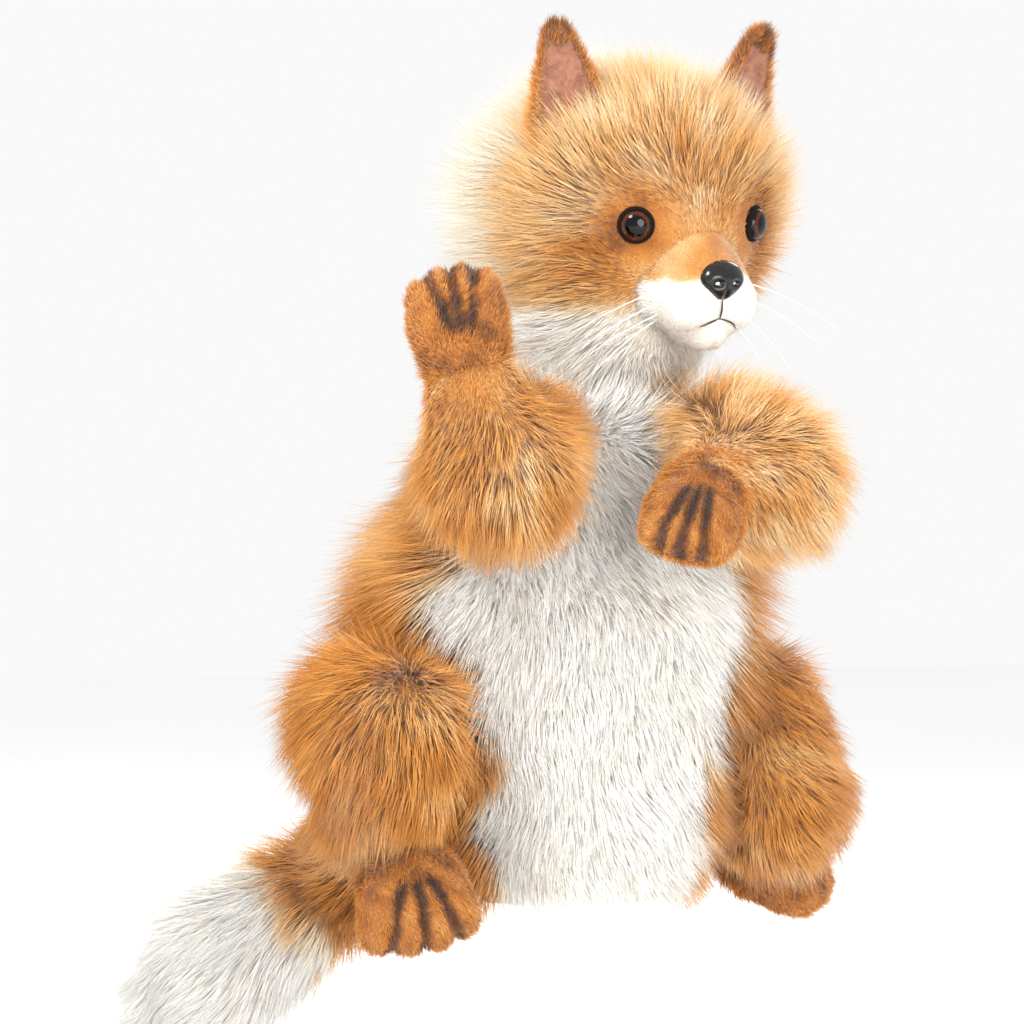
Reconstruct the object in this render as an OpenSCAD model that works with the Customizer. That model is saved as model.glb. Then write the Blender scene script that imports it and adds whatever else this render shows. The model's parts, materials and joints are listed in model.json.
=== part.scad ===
// Full-body hand puppet of a fox: a hollow plush body that a hand fills from below,
// with stuffed limbs, head and tail that turn in sewn ball-shaped seats.
// The puppet looks along -Y, +X is its own left side and +Z is up.
// The origin is the centre of the hand opening, at the lower edge of the hem.

/* [Body] */
// Radius of the two balls that round out the belly
belly_r = 62; // [51:1:75]
// Height of the belly balls above the hem
belly_z = 122; // [105:1:130]
// Radius of the two balls that round out the chest
chest_r = 44; // [38:1:52]
// Height of the chest balls above the hem
chest_z = 178; // [165:1:212]
// Sideways lean of the chest towards the puppet's left
chest_lean = 12; // [0:1:15]
// Thickness of the plush with its backing cloth
plush_wall = 4; // [2.5:0.5:5]
// Thickness of the glove lining
lining_wall = 2; // [1:0.5:2.5]
// Half angle of the white belly panel, seen from above
belly_half_angle = 62; // [50:1:70]

/* [Hand opening] */
// Radius of the round opening that the hand goes through
hand_r = 42; // [35:1:50]
// Height of the stiffened hem band
hem_h = 16; // [10:1:22]
// Radial thickness of the hem band
hem_wall = 5; // [3:0.5:7]

/* [Head] */
// Radius of the two balls that form the head
head_r = 56; // [46:1:68]
// How far the head's balls reach below the neck pivot
head_sink = 6; // [0:1:10]
// How far the back of the head lies behind the face
head_depth = 26; // [18:1:34]
// Turn of the head towards the puppet's left, in degrees
head_yaw = 9; // [-15:1:15]
// Downward tilt of the face, in degrees
head_pitch = 6; // [-5:1:12]
// Radius of the ball at the foot of the neck
neck_ball_r = 30; // [26:1:35]
// Radius of the finger pocket in the head
head_finger_r = 16; // [12:1:18]
// Distance of each eye from the face's middle line
eye_spread = 31; // [25:1:37]
// Radius of an eye's visible dome
eye_r = 7.5; // [6:0.5:9]
// Length of the ears
ear_length = 54; // [45:1:66]
// Width of the ears at the root
ear_width = 36; // [30:1:44]

/* [Arms] */
// Radius of the ball at the top of each sleeve
shoulder_ball_r = 19; // [15:1:23]
// Length of each sleeve from shoulder to elbow
upper_arm = 52; // [46:1:62]
// Length of each sleeve from elbow to wrist
fore_arm = 43; // [36:1:52]
// Radius of each sleeve at the elbow
elbow_r = 26; // [22:1:29]
// Radius of the ball at each wrist
wrist_ball_r = 15; // [13:1:18]
// Length of each paw beyond the wrist
paw_length = 43; // [35:1:52]
// Radius of the finger pocket in each arm
arm_finger_r = 8.5; // [7:0.5:10]

/* [Legs] */
// Radius of each thigh at the hip
hip_r = 22; // [18:1:24]
// Height of the hips above the hem
hip_z = 84; // [78:1:98]
// Distance from hip to ankle
leg_length = 73; // [66:1:86]
// Radius of each thigh at the knee
knee_r = 29; // [25:1:33]
// Radius of the ball at each ankle
ankle_ball_r = 16; // [14:1:19]
// Length of each foot beyond the ankle
foot_length = 38; // [32:1:46]

/* [Tail] */
// Length of the tail from its root to its tip
tail_length = 204; // [170:1:245]
// Share of the tail's length that is rust coloured
tail_joint_share = 0.5; // [0.42:0.01:0.58]
// Greatest radius of the tail
tail_r = 30; // [25:1:36]
// Radius of the ball at the tail's root
tail_ball_r = 18; // [15:1:21]

/* [Fits] */
// Gap between a ball and its round seat
seat_gap = 1; // [0.8:0.1:1.2]
// Gap between pieces that lie on each other
lay_gap = 0.4; // [0.3:0.1:0.6]
// Thickness of the cloth gussets in the seats
gusset_wall = 3; // [2:0.5:4]

/* [Hidden] */

// Colours
rust = "#b5651d";
gold = "#cf9448";
cream = "#efe3c8";
white = "#f7f5ee";
mauve = "#8f6a58";
black = "#141210";
lining_grey = "#5d5850";

// Facets of the soft outer shapes, of their hollows and of straight bores
fine = 24;
coarse = 16;
bore_sides = 12;

// Body
belly_spread = 16;
belly_y = 8;
chest_spread = 16;
chest_y = 4;
hem_outer = hand_r + hem_wall + lining_wall + plush_wall + 2 * lay_gap;
hand_room = plush_wall + lining_wall + lay_gap;
body_top = chest_z + chest_r;
panel_edge = 200;

// How deep a seat holds its ball: the seat's rim is cut at this share of its radius
seat_rim = 0.82;
gusset_rim = 0.7;
cup_rim = 0.86;

// Pivots
function pair(side, p) = [side * p[0], p[1], p[2]];
function along(d, t) = d / norm(d) * t;
function seat_r(ball_r) = ball_r + 2 * seat_gap + gusset_wall;
neck = [chest_lean + 14, 2, body_top + neck_ball_r + 6];
head = neck + [12, -2, head_r - head_sink];
shoulder_reach = chest_r + seat_r(shoulder_ball_r) - 9;
function shoulder(side) = [chest_lean + side * chest_spread, chest_y, chest_z]
    + along([side * 30, -42, 27], shoulder_reach);
// Half width of the body below the belly: a line from the hem that touches the belly ball
hem_to_belly = [belly_spread - hem_outer, belly_z];
side_angle = atan2(hem_to_belly[1], hem_to_belly[0]) - asin(belly_r / norm(hem_to_belly));
function body_side(z) = hem_outer + z / tan(side_angle);
function hip(side) = [side * (body_side(hip_z) + lay_gap + hip_pad + hip_r), -2, hip_z];
tail_root = [-10, belly_y + belly_r + 1, 48];
tail_way = [-0.72, 0.40, -0.565];

// Rest pose of each limb: directions of sleeve, forearm, paw, leg and foot
function sleeve_way(side) = side < 0 ? [-0.5, -0.8, -0.3] : [0.02, -0.93, -0.36];
function fore_way(side) = side < 0 ? [-0.3, 0, 0.95] : [-0.83, -0.5, -0.1];
function paw_way(side) = side < 0 ? [-0.2, 0, 0.98] : [-0.5, -0.55, -0.6];
function paw_back(side) = side < 0 ? [-0.3, -0.95, 0] : [-0.3, -0.8, 0.5];
function leg_way(side) = side < 0 ? [0.1, -0.52, -0.85] : [0.03, 0.25, -0.97];
function knee_way(side) = side < 0 ? [0, -0.97, -0.2] : [0, -0.4, -0.92];
function foot_way(side) = side < 0 ? [0.08, -0.5, -0.86] : [0.82, -0.36, -0.44];
function foot_back(side) = side < 0 ? [-0.2, -0.85, 0.5] : [0.3, -0.4, 0.87];
// A seam between two parts of a limb halves the bend between them
function halfway(a, b) = along(a, 1) + along(b, 1);
function wrist_seam(side) = halfway(fore_way(side), paw_way(side));
function ankle_seam(side) = halfway(leg_way(side), foot_way(side));
function elbow(side) = shoulder(side) + along(sleeve_way(side), upper_arm);
function wrist(side) = elbow(side) + along(fore_way(side), fore_arm);
function ankle(side) = hip(side) + along(leg_way(side), leg_length);
tail_joint = tail_root + along(tail_way, tail_length * tail_joint_share);

// ---- Shared shapes ----

// Smooth body around a list of balls, each [x, y, z, radius]
module blob(balls, grow = 0, sides = fine) {
    hull() {
        for (b = balls) {
            translate([b[0], b[1], b[2]]) sphere(r = b[3] + grow, $fn = sides);
        }
    }
}

// One ball with flat facets
module ball(r, sides = fine) {
    hull() sphere(r = r, $fn = sides);
}

// A drum with flat sides
module drum(r, h) {
    hull() cylinder(r = r, h = h, $fn = fine);
}

// Turns +Z to a direction and moves the origin to a point
module aim(p, d) {
    translate(p) rotate([0, acos(d[2] / norm(d)), atan2(d[1], d[0])]) children();
}

// Everything on the far side of a plane through p + offset along d
module beyond(p, d, offset) {
    aim(p, d) translate([-200, -200, offset]) cube([400, 400, 400]);
}

// A frame with +Z along a limb and -Y to its back, used for paws and feet
module limb_frame(p, way, back) {
    z = along(way, 1);
    x = along(cross(-back, z), 1);
    y = cross(z, x);
    multmatrix([[x[0], y[0], z[0], p[0]], [x[1], y[1], z[1], p[1]],
        [x[2], y[2], z[2], p[2]], [0, 0, 0, 1]]) children();
}

// A bowl of cloth between a ball and its seat; d points out of the seat
module gusset(p, d, ball_r, finger_r) {
    inner = ball_r + seat_gap;
    outer = inner + gusset_wall;
    aim(p, d) difference() {
        ball(outer);
        ball(inner);
        translate([0, 0, -outer * gusset_rim]) drum(2 * outer, 3 * outer);
        if (finger_r > 0) {
            translate([0, 0, -2 * outer]) cylinder(r = finger_r, h = 2 * outer, $fn = bore_sides);
        }
    }
}

// The collar that carries a seat, from inside the body wall to the seat's rim
module collar(p, d, ball_r, depth, grow = 0) {
    r = seat_r(ball_r);
    aim(p, d) translate([0, 0, -r - depth - grow])
        drum(r + grow, r * (1 - seat_rim) + depth + 2 * grow);
}

// What a seat takes out of its collar: the ball's room and the finger's way in
module seat_cut(p, d, ball_r, finger_r) {
    r = seat_r(ball_r);
    translate(p) ball(r);
    if (finger_r > 0) {
        aim(p, d) translate([0, 0, -r - 30]) cylinder(r = finger_r, h = 30 + r, $fn = bore_sides);
    }
}

// ---- Body ----

module body_hull(grow, sides = fine) {
    hull() {
        translate([0, 0, 0]) cylinder(r = hem_outer + grow, h = 1, $fn = sides);
        for (side = [-1, 1]) {
            translate([side * belly_spread, belly_y, belly_z])
                sphere(r = belly_r + grow, $fn = sides);
            translate([chest_lean + side * chest_spread, chest_y, chest_z])
                sphere(r = chest_r + grow, $fn = sides);
        }
    }
}

function shoulder_out(side) = [side * 0.25, -0.97, 0];
tail_out = [-0.5, 0.75, -0.43];
neck_out = [0, 0, 1];
collar_depth = 6;
neck_collar_depth = 10;
arm_hole_r = arm_finger_r + 1;
neck_hole_r = head_finger_r + 3;

// Flat round pads that the thighs are sewn to
hip_pad = 2;
hip_pad_r = 15;

module hip_pads(grow = 0) {
    for (side = [-1, 1]) {
        aim([side * (body_side(hip_z) - 10), hip(side)[1], hip_z], [side, 0, 0])
            drum(hip_pad_r + grow, 10 + hip_pad + grow);
    }
}

module collars(grow = 0) {
    for (side = [-1, 1]) {
        collar(shoulder(side), shoulder_out(side), shoulder_ball_r, collar_depth, grow);
    }
    collar(tail_root, tail_out, tail_ball_r, collar_depth, grow);
    collar(neck, neck_out, neck_ball_r, neck_collar_depth, grow);
}

module seats() {
    for (side = [-1, 1]) {
        seat_cut(shoulder(side), shoulder_out(side), shoulder_ball_r, arm_hole_r);
    }
    seat_cut(tail_root, tail_out, tail_ball_r, 0);
    seat_cut(neck, neck_out, neck_ball_r, neck_hole_r);
}

// The plain plush wall of the body, before it is split into back and belly
module body_wall() {
    difference() {
        body_hull(0);
        body_hull(-plush_wall);
        translate([0, 0, -20]) drum(hem_outer - plush_wall, 40);
    }
}

// Room in front of the body that the belly panel fills
module belly_sector() {
    edge = panel_edge * tan(belly_half_angle);
    linear_extrude(height = body_top - chest_r * 0.45)
        polygon([[0, 0], [-edge, -panel_edge], [edge, -panel_edge]]);
}

module back_shell() {
    color(rust) difference() {
        union() {
            difference() {
                body_wall();
                translate([0, 0, -1]) belly_sector();
            }
            collars();
            hip_pads();
        }
        seats();
    }
}

module belly_panel() {
    color(white) difference() {
        intersection() {
            body_wall();
            translate([0, 0, -1]) belly_sector();
        }
        collars(lay_gap);
        hip_pads(lay_gap);
        seats();
    }
}

module glove_lining() {
    outside = plush_wall + lay_gap;
    color(lining_grey) difference() {
        body_hull(-outside);
        body_hull(-outside - lining_wall);
        translate([0, 0, -1]) drum(hand_r + hem_wall + lay_gap, hem_h + 2);
        collars(2 * lay_gap);
        collar(neck, neck_out, neck_ball_r, neck_collar_depth, lining_wall + plush_wall);
        hip_pads(2 * lay_gap);
        seats();
    }
}

module hem_band() {
    color(rust) rotate_extrude($fn = 96)
        translate([hand_r, 0]) square([hem_wall, hem_h]);
}

// ---- Head ----

module head_frame() {
    translate(head) rotate([head_pitch, -3, head_yaw]) children();
}

module head_hull(grow, sides = fine) {
    hull() {
        head_frame() {
            sphere(r = head_r + grow, $fn = sides);
            translate([0, head_depth, -2]) sphere(r = head_r + grow, $fn = sides);
        }
        translate(neck) sphere(r = neck_ball_r + grow, $fn = sides);
    }
}

module neck_gusset() {
    color(cream) gusset(neck, neck_out, neck_ball_r, head_finger_r + 2);
}

head_pocket_top = head_r - head_sink + 20;
pocket_wall = 1.5;

module head_pocket_way(r, top) {
    translate(neck - [0, 0, 2 * neck_ball_r])
        cylinder(r = r, h = 2 * neck_ball_r + top, $fn = bore_sides);
}

// Eyes: a dome on a shank that goes through the face into a washer
eye_down = -4;
eye_gaze = [eye_spread, -sqrt(pow(head_r, 2) - pow(eye_spread, 2) - pow(eye_down, 2)), eye_down];
eye_shank_r = 1.8;
eye_dome_r = eye_r + 0.6;
eye_height = 4.5;
rim_wall = 0.8;
washer_h = 1.2;
washer_r = 6.5;
eye_shank = plush_wall + washer_h + 4;

module eye_place(side, out) {
    head_frame() aim([0, 0, 0], pair(side, eye_gaze)) translate([0, 0, head_r + out]) children();
}

module eye(side) {
    color(black) eye_place(side, rim_wall + 2 * lay_gap) {
        intersection() {
            translate([0, 0, eye_height - eye_dome_r]) sphere(r = eye_dome_r, $fn = 48);
            cylinder(r = eye_r, h = eye_height + 1, $fn = 48);
        }
        translate([0, 0, -eye_shank]) cylinder(r = eye_shank_r, h = eye_shank + 1, $fn = 24);
    }
}

module eye_rim(side) {
    color(black) eye_place(side, lay_gap) difference() {
        cylinder(r = eye_r + 1.6, h = rim_wall, $fn = 48);
        translate([0, 0, -1]) cylinder(r = eye_shank_r + 0.2, h = rim_wall + 2, $fn = 24);
    }
}

module eye_washers() {
    color(white) for (side = [-1, 1]) {
        eye_place(side, -plush_wall - 2 - washer_h) difference() {
            cylinder(r = washer_r, h = washer_h, $fn = 36);
            translate([0, 0, -1]) cylinder(r = eye_shank_r + 0.15, h = washer_h + 2, $fn = 24);
        }
    }
}

module eye_cuts() {
    for (side = [-1, 1]) {
        eye_place(side, -eye_shank - 2)
            cylinder(r = eye_shank_r + 0.5, h = eye_shank + 6, $fn = bore_sides);
    }
}

module eye_rooms() {
    for (side = [-1, 1]) {
        eye_place(side, -eye_shank - 2)
            cylinder(r = washer_r + 1, h = eye_shank + 2, $fn = bore_sides);
    }
}

// Face panel in front of this plane of the head, ruff behind it
face_plane = 2;

module head_shell() {
    difference() {
        head_hull(0);
        head_hull(-plush_wall);
        head_pocket_way(head_finger_r + 1, 0);
    }
}

module face_side() {
    head_frame() translate([-150, face_plane - 300, -150]) cube(300);
}

module face_panel() {
    color(gold) difference() {
        intersection() {
            head_shell();
            face_side();
        }
        eye_cuts();
    }
}

module ruff_panel() {
    color(cream) difference() {
        head_shell();
        face_side();
    }
}

module head_stuffing() {
    color(white) difference() {
        head_hull(-plush_wall - lay_gap);
        head_pocket_way(head_finger_r + pocket_wall + lay_gap, head_pocket_top + pocket_wall + lay_gap);
        eye_rooms();
    }
}

module head_finger_pocket() {
    bottom = 0.55 * neck_ball_r;
    color(lining_grey) translate(neck - [0, 0, bottom]) difference() {
        cylinder(r = head_finger_r + pocket_wall,
            h = bottom + head_pocket_top + pocket_wall, $fn = bore_sides);
        translate([0, 0, -1])
            cylinder(r = head_finger_r, h = 1 + bottom + head_pocket_top, $fn = bore_sides);
    }
}

// Muzzle: bridge, cheeks and chin are slices of one rounded form
bridge_z = -30;
chin_z = -47;
nose_place = [0, -12 - head_r, -28];

module muzzle_hull(grow = 0) {
    front = -head_r;
    head_frame() blob([
        [-8, front + 16, -33, 18], [8, front + 16, -33, 18],
        [-9, front - 2, -38, 13], [9, front - 2, -38, 13],
        [0, front + 12, -17, 15], [0, front - 8, -26, 10],
        [0, front, -51, 9]], grow);
}

module muzzle_slice(low, high) {
    difference() {
        intersection() {
            muzzle_hull();
            head_frame() translate([-60, -2 * head_r, low]) cube([120, 2 * head_r, high - low]);
        }
        head_hull(lay_gap);
        nose_hull(lay_gap);
        nose_stem(nose_shank_r + 0.4, nose_shank);
        head_frame() translate(nose_place + [0, nose_shank - 8, 0]) rotate([-90, 0, 0])
            cylinder(r = washer_r + 1.2, h = 10, $fn = bore_sides);
    }
}

module muzzle_bridge() {
    color(gold) muzzle_slice(bridge_z, 40);
}

module muzzle_cheeks() {
    color(white) muzzle_slice(chin_z, bridge_z);
}

module chin_patch() {
    color(white) muzzle_slice(-80, chin_z);
}

// Nose: a moulded pad on a shank, held by a washer inside the muzzle
nose_shank_r = 2.2;
nose_shank = 16;

module nose_hull(grow = 0) {
    head_frame() translate(nose_place) blob([[-5, 0, 2, 6], [5, 0, 2, 6], [0, -1, -4, 5]], grow);
}

module nose_stem(r, length) {
    head_frame() translate(nose_place) rotate([-90, 0, 0]) cylinder(r = r, h = length, $fn = bore_sides);
}

module nose() {
    color(black) {
        nose_hull();
        nose_stem(nose_shank_r, nose_shank);
    }
}

module nose_washer() {
    color(white) head_frame() translate(nose_place + [0, nose_shank - 4, 0]) rotate([-90, 0, 0])
        difference() {
            cylinder(r = washer_r, h = washer_h, $fn = 36);
            translate([0, 0, -1]) cylinder(r = nose_shank_r + 0.15, h = washer_h + 2, $fn = 24);
        }
}

// Embroidered mouth: a short line below the nose that parts to both sides
thread = 1.2;

module mouth_stitch() {
    points = [[0, -36], [0, -45], [10, -49]];
    color("#3a2a20") intersection() {
        difference() {
            muzzle_hull(thread);
            muzzle_hull(lay_gap);
            nose_hull(lay_gap);
            head_hull(lay_gap);
        }
        head_frame() rotate([90, 0, 0]) translate([0, 0, 0.7 * head_r]) linear_extrude(height = head_r) {
            for (side = [-1, 1]) {
                for (i = [0, 1]) {
                    hull() {
                        translate([side * points[i][0], points[i][1]]) circle(d = thread, $fn = 8);
                        translate([side * points[i + 1][0], points[i + 1][1]]) circle(d = thread, $fn = 8);
                    }
                }
            }
        }
    }
}

whisker_r = 0.4;
whisker_length = 58;

module whiskers() {
    color(white) difference() {
        head_frame() for (side = [-1, 1]) {
            for (i = [0 : 3]) {
                aim([side * 12, -head_r, -36 - 2.5 * i], [side, 0.25 + 0.12 * i, -0.1 - 0.16 * i])
                    cylinder(r = whisker_r, h = whisker_length - 4 * i, $fn = 6);
            }
        }
        muzzle_hull(lay_gap);
        head_hull(lay_gap);
    }
}

// Ears: a plush back and a thin lining in front of one plane
ear_lining_wall = 2;

module ear_frame(side) {
    head_frame() mirror([side < 0 ? 1 : 0, 0, 0])
        translate([0.72 * head_r, -8, 0.56 * head_r]) rotate([10, 14, 12]) children();
}

module ear_hull() {
    w = ear_width / 2 - 4;
    blob([[-w, 0, 0, 4], [w, 0, 0, 4], [-w, 0, 14, 4], [w, 0, 14, 4], [0, 5, 10, 8],
        [0, 0, ear_length - 6, 6]], 0, coarse);
}

module ear_slab(low, high) {
    translate([-50, low, -20]) cube([100, high - low, 120]);
}

module ear_back(side) {
    color(rust) difference() {
        ear_frame(side) intersection() {
            ear_hull();
            ear_slab(0, 40);
        }
        head_hull(lay_gap);
    }
}

module ear_lining(side) {
    color(mauve) difference() {
        ear_frame(side) intersection() {
            ear_hull();
            ear_slab(-ear_lining_wall, 0);
        }
        head_hull(lay_gap);
    }
}

// ---- Arms ----

function placed(p, r) = [p[0], p[1], p[2], r];

module shoulder_gusset(side) {
    color(rust) gusset(shoulder(side), shoulder_out(side), shoulder_ball_r, arm_finger_r + 1);
}

sleeve_end_r = 19;
arm_pocket_depth = 20;

module arm_pocket_way(side, r, depth) {
    aim(shoulder(side), -shoulder_out(side))
        translate([0, 0, -depth]) cylinder(r = r, h = depth + 2 * shoulder_ball_r, $fn = bore_sides);
}

module sleeve(side) {
    cup = wrist_ball_r + seat_gap;
    color(rust) difference() {
        union() {
            blob([placed(shoulder(side), shoulder_ball_r), placed(elbow(side), elbow_r)]);
            blob([placed(elbow(side), elbow_r),
                placed(wrist(side) - along(fore_way(side), cup * cup_rim), sleeve_end_r)]);
        }
        translate(wrist(side)) ball(cup);
        beyond(wrist(side), wrist_seam(side), -cup * cup_rim);
        arm_pocket_way(side, arm_finger_r + pocket_wall + lay_gap, arm_pocket_depth + pocket_wall + lay_gap);
    }
}

module arm_finger_pocket(side) {
    mouth = 0.62 * shoulder_ball_r;
    color(lining_grey) aim(shoulder(side), -shoulder_out(side))
        translate([0, 0, -arm_pocket_depth - pocket_wall]) difference() {
            cylinder(r = arm_finger_r + pocket_wall,
                h = arm_pocket_depth + pocket_wall + mouth, $fn = bore_sides);
            translate([0, 0, pocket_wall])
                cylinder(r = arm_finger_r, h = arm_pocket_depth + mouth + 1, $fn = bore_sides);
        }
}

// Paws and feet: a ball in the seat, then a broad toe end
module paw_hull(side, grow = 0, sides = fine) {
    limb_frame(wrist(side), paw_way(side), paw_back(side)) blob([
        [0, 0, 0, wrist_ball_r],
        [-5, 0, 0.5 * paw_length, 15], [5, 0, 0.5 * paw_length, 15],
        [-8, 0, paw_length - 11, 11], [8, 0, paw_length - 11, 11]], grow, sides);
}

module toe_slots(reach, spread) {
    for (i = [-1 : 1]) {
        translate([i * spread - 0.6, -40, reach]) cube([1.2, 80, 40]);
    }
}

module paw(side) {
    color(rust) difference() {
        paw_hull(side);
        paw_hull(side, -plush_wall, coarse);
    }
}

module paw_stuffing(side) {
    color(white) paw_hull(side, -plush_wall - lay_gap, coarse);
}

module paw_seams(side) {
    color("#3a2a20") intersection() {
        difference() {
            paw_hull(side, thread);
            paw_hull(side, lay_gap);
        }
        limb_frame(wrist(side), paw_way(side), paw_back(side)) toe_slots(paw_length - 18, 8);
    }
}

// ---- Legs ----

knee_reach = 44;
shin_r = 22;

function thigh_balls(side) = [
    placed(hip(side), hip_r),
    placed(hip(side) + along(knee_way(side), knee_reach), knee_r),
    placed(ankle(side) - along(leg_way(side), ankle_ball_r), shin_r)];

module thigh(side) {
    cup = ankle_ball_r + seat_gap;
    color(rust) difference() {
        blob(thigh_balls(side));
        translate(ankle(side)) ball(cup);
        beyond(ankle(side), ankle_seam(side), -cup * cup_rim);
        thigh_room(side, 0);
        inside_of_hip(side, 0);
    }
}

// Everything on the body's side of the thigh's flat inner face
module inside_of_hip(side, depth) {
    beyond(hip(side) - [side * (hip_r - depth), 0, 0], [-side, 0, 0], 0);
}

module thigh_room(side, gap) {
    difference() {
        intersection() {
            blob(thigh_balls(side), -plush_wall - gap, coarse);
            beyond(ankle(side), -ankle_seam(side), ankle_ball_r + seat_gap + plush_wall + gap);
        }
        inside_of_hip(side, plush_wall + gap);
    }
}

module thigh_stuffing(side) {
    color(white) thigh_room(side, lay_gap);
}

module foot_hull(side, grow = 0, sides = fine) {
    limb_frame(ankle(side), foot_way(side), foot_back(side)) blob([
        [0, 0, 0, ankle_ball_r],
        [-7, 0, 0.55 * foot_length, 16], [7, 0, 0.55 * foot_length, 16],
        [-14, 1, foot_length - 12, 13], [14, 1, foot_length - 12, 13]], grow, sides);
}

module foot(side) {
    color(rust) difference() {
        foot_hull(side);
        foot_hull(side, -plush_wall, coarse);
    }
}

module foot_stuffing(side) {
    color(white) foot_hull(side, -plush_wall - lay_gap, coarse);
}

module foot_seams(side) {
    color("#3a2a20") intersection() {
        difference() {
            foot_hull(side, thread);
            foot_hull(side, lay_gap);
        }
        limb_frame(ankle(side), foot_way(side), foot_back(side))
            translate([0, -40, 0]) toe_slots(foot_length - 18, 11);
    }
}

module sole_patch(side) {
    color(mauve) intersection() {
        difference() {
            foot_hull(side, thread);
            foot_hull(side, lay_gap);
        }
        limb_frame(ankle(side), foot_way(side), foot_back(side))
            translate([0, 5, 0.55 * foot_length]) rotate([-90, 0, 0]) drum(14, 30);
    }
}

// ---- Tail ----

module tail_gusset() {
    color(rust) gusset(tail_root, tail_out, tail_ball_r, 0);
}

tail_joint_r = 22;
function tail_at(t) = tail_root + along(tail_way, t);
function tail_base_balls() = [
    placed(tail_root, tail_ball_r),
    placed(tail_at(0.35 * tail_length), 0.85 * tail_r),
    placed(tail_joint - along(tail_way, tail_joint_r), 0.9 * tail_r)];
function tail_tip_balls() = [
    placed(tail_joint, tail_joint_r),
    placed(tail_at(0.73 * tail_length), tail_r),
    placed(tail_at(tail_length - 9), 9)];

module tail_base_room(gap) {
    intersection() {
        blob(tail_base_balls(), -plush_wall - gap, coarse);
        beyond(tail_joint, -tail_way, tail_joint_r + seat_gap + plush_wall + gap);
    }
}

module tail_base() {
    cup = tail_joint_r + seat_gap;
    color(rust) difference() {
        blob(tail_base_balls());
        translate(tail_joint) ball(cup);
        beyond(tail_joint, tail_way, -cup * cup_rim);
        tail_base_room(0);
    }
}

module tail_base_stuffing() {
    color(white) tail_base_room(lay_gap);
}

module tail_tip() {
    color(white) difference() {
        blob(tail_tip_balls());
        blob(tail_tip_balls(), -plush_wall, coarse);
    }
}

module tail_tip_stuffing() {
    color(white) blob(tail_tip_balls(), -plush_wall - lay_gap, coarse);
}

// ---- Nodes ----

back_shell();
belly_panel();
glove_lining();
hem_band();
neck_gusset();
head_stuffing();
head_finger_pocket();
face_panel();
ruff_panel();
muzzle_bridge();
muzzle_cheeks();
chin_patch();
mouth_stitch();
nose();
nose_washer();
eye(-1);  // eye_right
eye(1);  // eye_left
eye_washers();
eye_rim(-1);  // eye_rim_right
eye_rim(1);  // eye_rim_left
ear_back(-1);  // ear_back_right
ear_back(1);  // ear_back_left
ear_lining(-1);  // ear_lining_right
ear_lining(1);  // ear_lining_left
whiskers();
shoulder_gusset(-1);  // shoulder_gusset_right
shoulder_gusset(1);  // shoulder_gusset_left
sleeve(-1);  // sleeve_right
sleeve(1);  // sleeve_left
arm_finger_pocket(-1);  // arm_finger_pocket_right
arm_finger_pocket(1);  // arm_finger_pocket_left
paw(-1);  // paw_right
paw(1);  // paw_left
paw_seams(-1);  // paw_seams_right
paw_seams(1);  // paw_seams_left
paw_stuffing(-1);  // paw_stuffing_right
paw_stuffing(1);  // paw_stuffing_left
thigh(-1);  // thigh_right
thigh(1);  // thigh_left
thigh_stuffing(-1);  // thigh_stuffing_right
thigh_stuffing(1);  // thigh_stuffing_left
foot(-1);  // foot_right
foot(1);  // foot_left
foot_stuffing(-1);  // foot_stuffing_right
foot_stuffing(1);  // foot_stuffing_left
foot_seams(-1);  // foot_seams_right
foot_seams(1);  // foot_seams_left
sole_patch(-1);  // sole_patch_right
sole_patch(1);  // sole_patch_left
tail_gusset();
tail_base();
tail_base_stuffing();
tail_tip();
tail_tip_stuffing();
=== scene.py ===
"""A plush fox hand puppet: sewn skins, pile grown strand by strand, and the small hard parts."""
import json
import math
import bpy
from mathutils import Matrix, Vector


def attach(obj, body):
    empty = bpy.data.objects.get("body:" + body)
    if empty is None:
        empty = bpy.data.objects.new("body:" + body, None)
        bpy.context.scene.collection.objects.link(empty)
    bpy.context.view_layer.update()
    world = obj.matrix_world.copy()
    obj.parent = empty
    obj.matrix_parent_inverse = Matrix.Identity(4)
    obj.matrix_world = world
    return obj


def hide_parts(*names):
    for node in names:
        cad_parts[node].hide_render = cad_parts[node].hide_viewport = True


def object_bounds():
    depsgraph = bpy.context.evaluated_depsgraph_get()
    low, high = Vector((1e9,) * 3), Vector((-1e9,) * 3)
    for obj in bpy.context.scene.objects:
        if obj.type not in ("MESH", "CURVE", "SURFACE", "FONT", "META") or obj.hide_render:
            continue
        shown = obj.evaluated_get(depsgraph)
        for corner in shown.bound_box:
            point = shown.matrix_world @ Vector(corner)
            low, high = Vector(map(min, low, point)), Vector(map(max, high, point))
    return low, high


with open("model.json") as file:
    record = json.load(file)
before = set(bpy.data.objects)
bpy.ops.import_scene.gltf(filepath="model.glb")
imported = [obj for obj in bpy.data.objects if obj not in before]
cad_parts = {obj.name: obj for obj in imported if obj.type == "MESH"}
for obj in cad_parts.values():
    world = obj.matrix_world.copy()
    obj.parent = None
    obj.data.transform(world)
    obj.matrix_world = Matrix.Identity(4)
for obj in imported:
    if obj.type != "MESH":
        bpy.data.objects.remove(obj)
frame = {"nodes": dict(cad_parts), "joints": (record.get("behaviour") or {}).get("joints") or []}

from types import SimpleNamespace

import bmesh
import bpy
import numpy as np
from mathutils import Matrix, Vector
from mathutils.bvhtree import BVHTree
from mathutils.kdtree import KDTree

CAD_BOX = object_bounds()
MM = 0.001
SIDES = {"right": -1, "left": 1}
UP = np.array([0.0, 0.0, 1.0])
GOLDEN_ANGLE = math.pi * (3 - math.sqrt(5))

# How far pile may stand outside the CAD box: a share of each side and a fixed part.
PROUD_SHARE = 0.028
PROUD = 9 * MM

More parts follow.
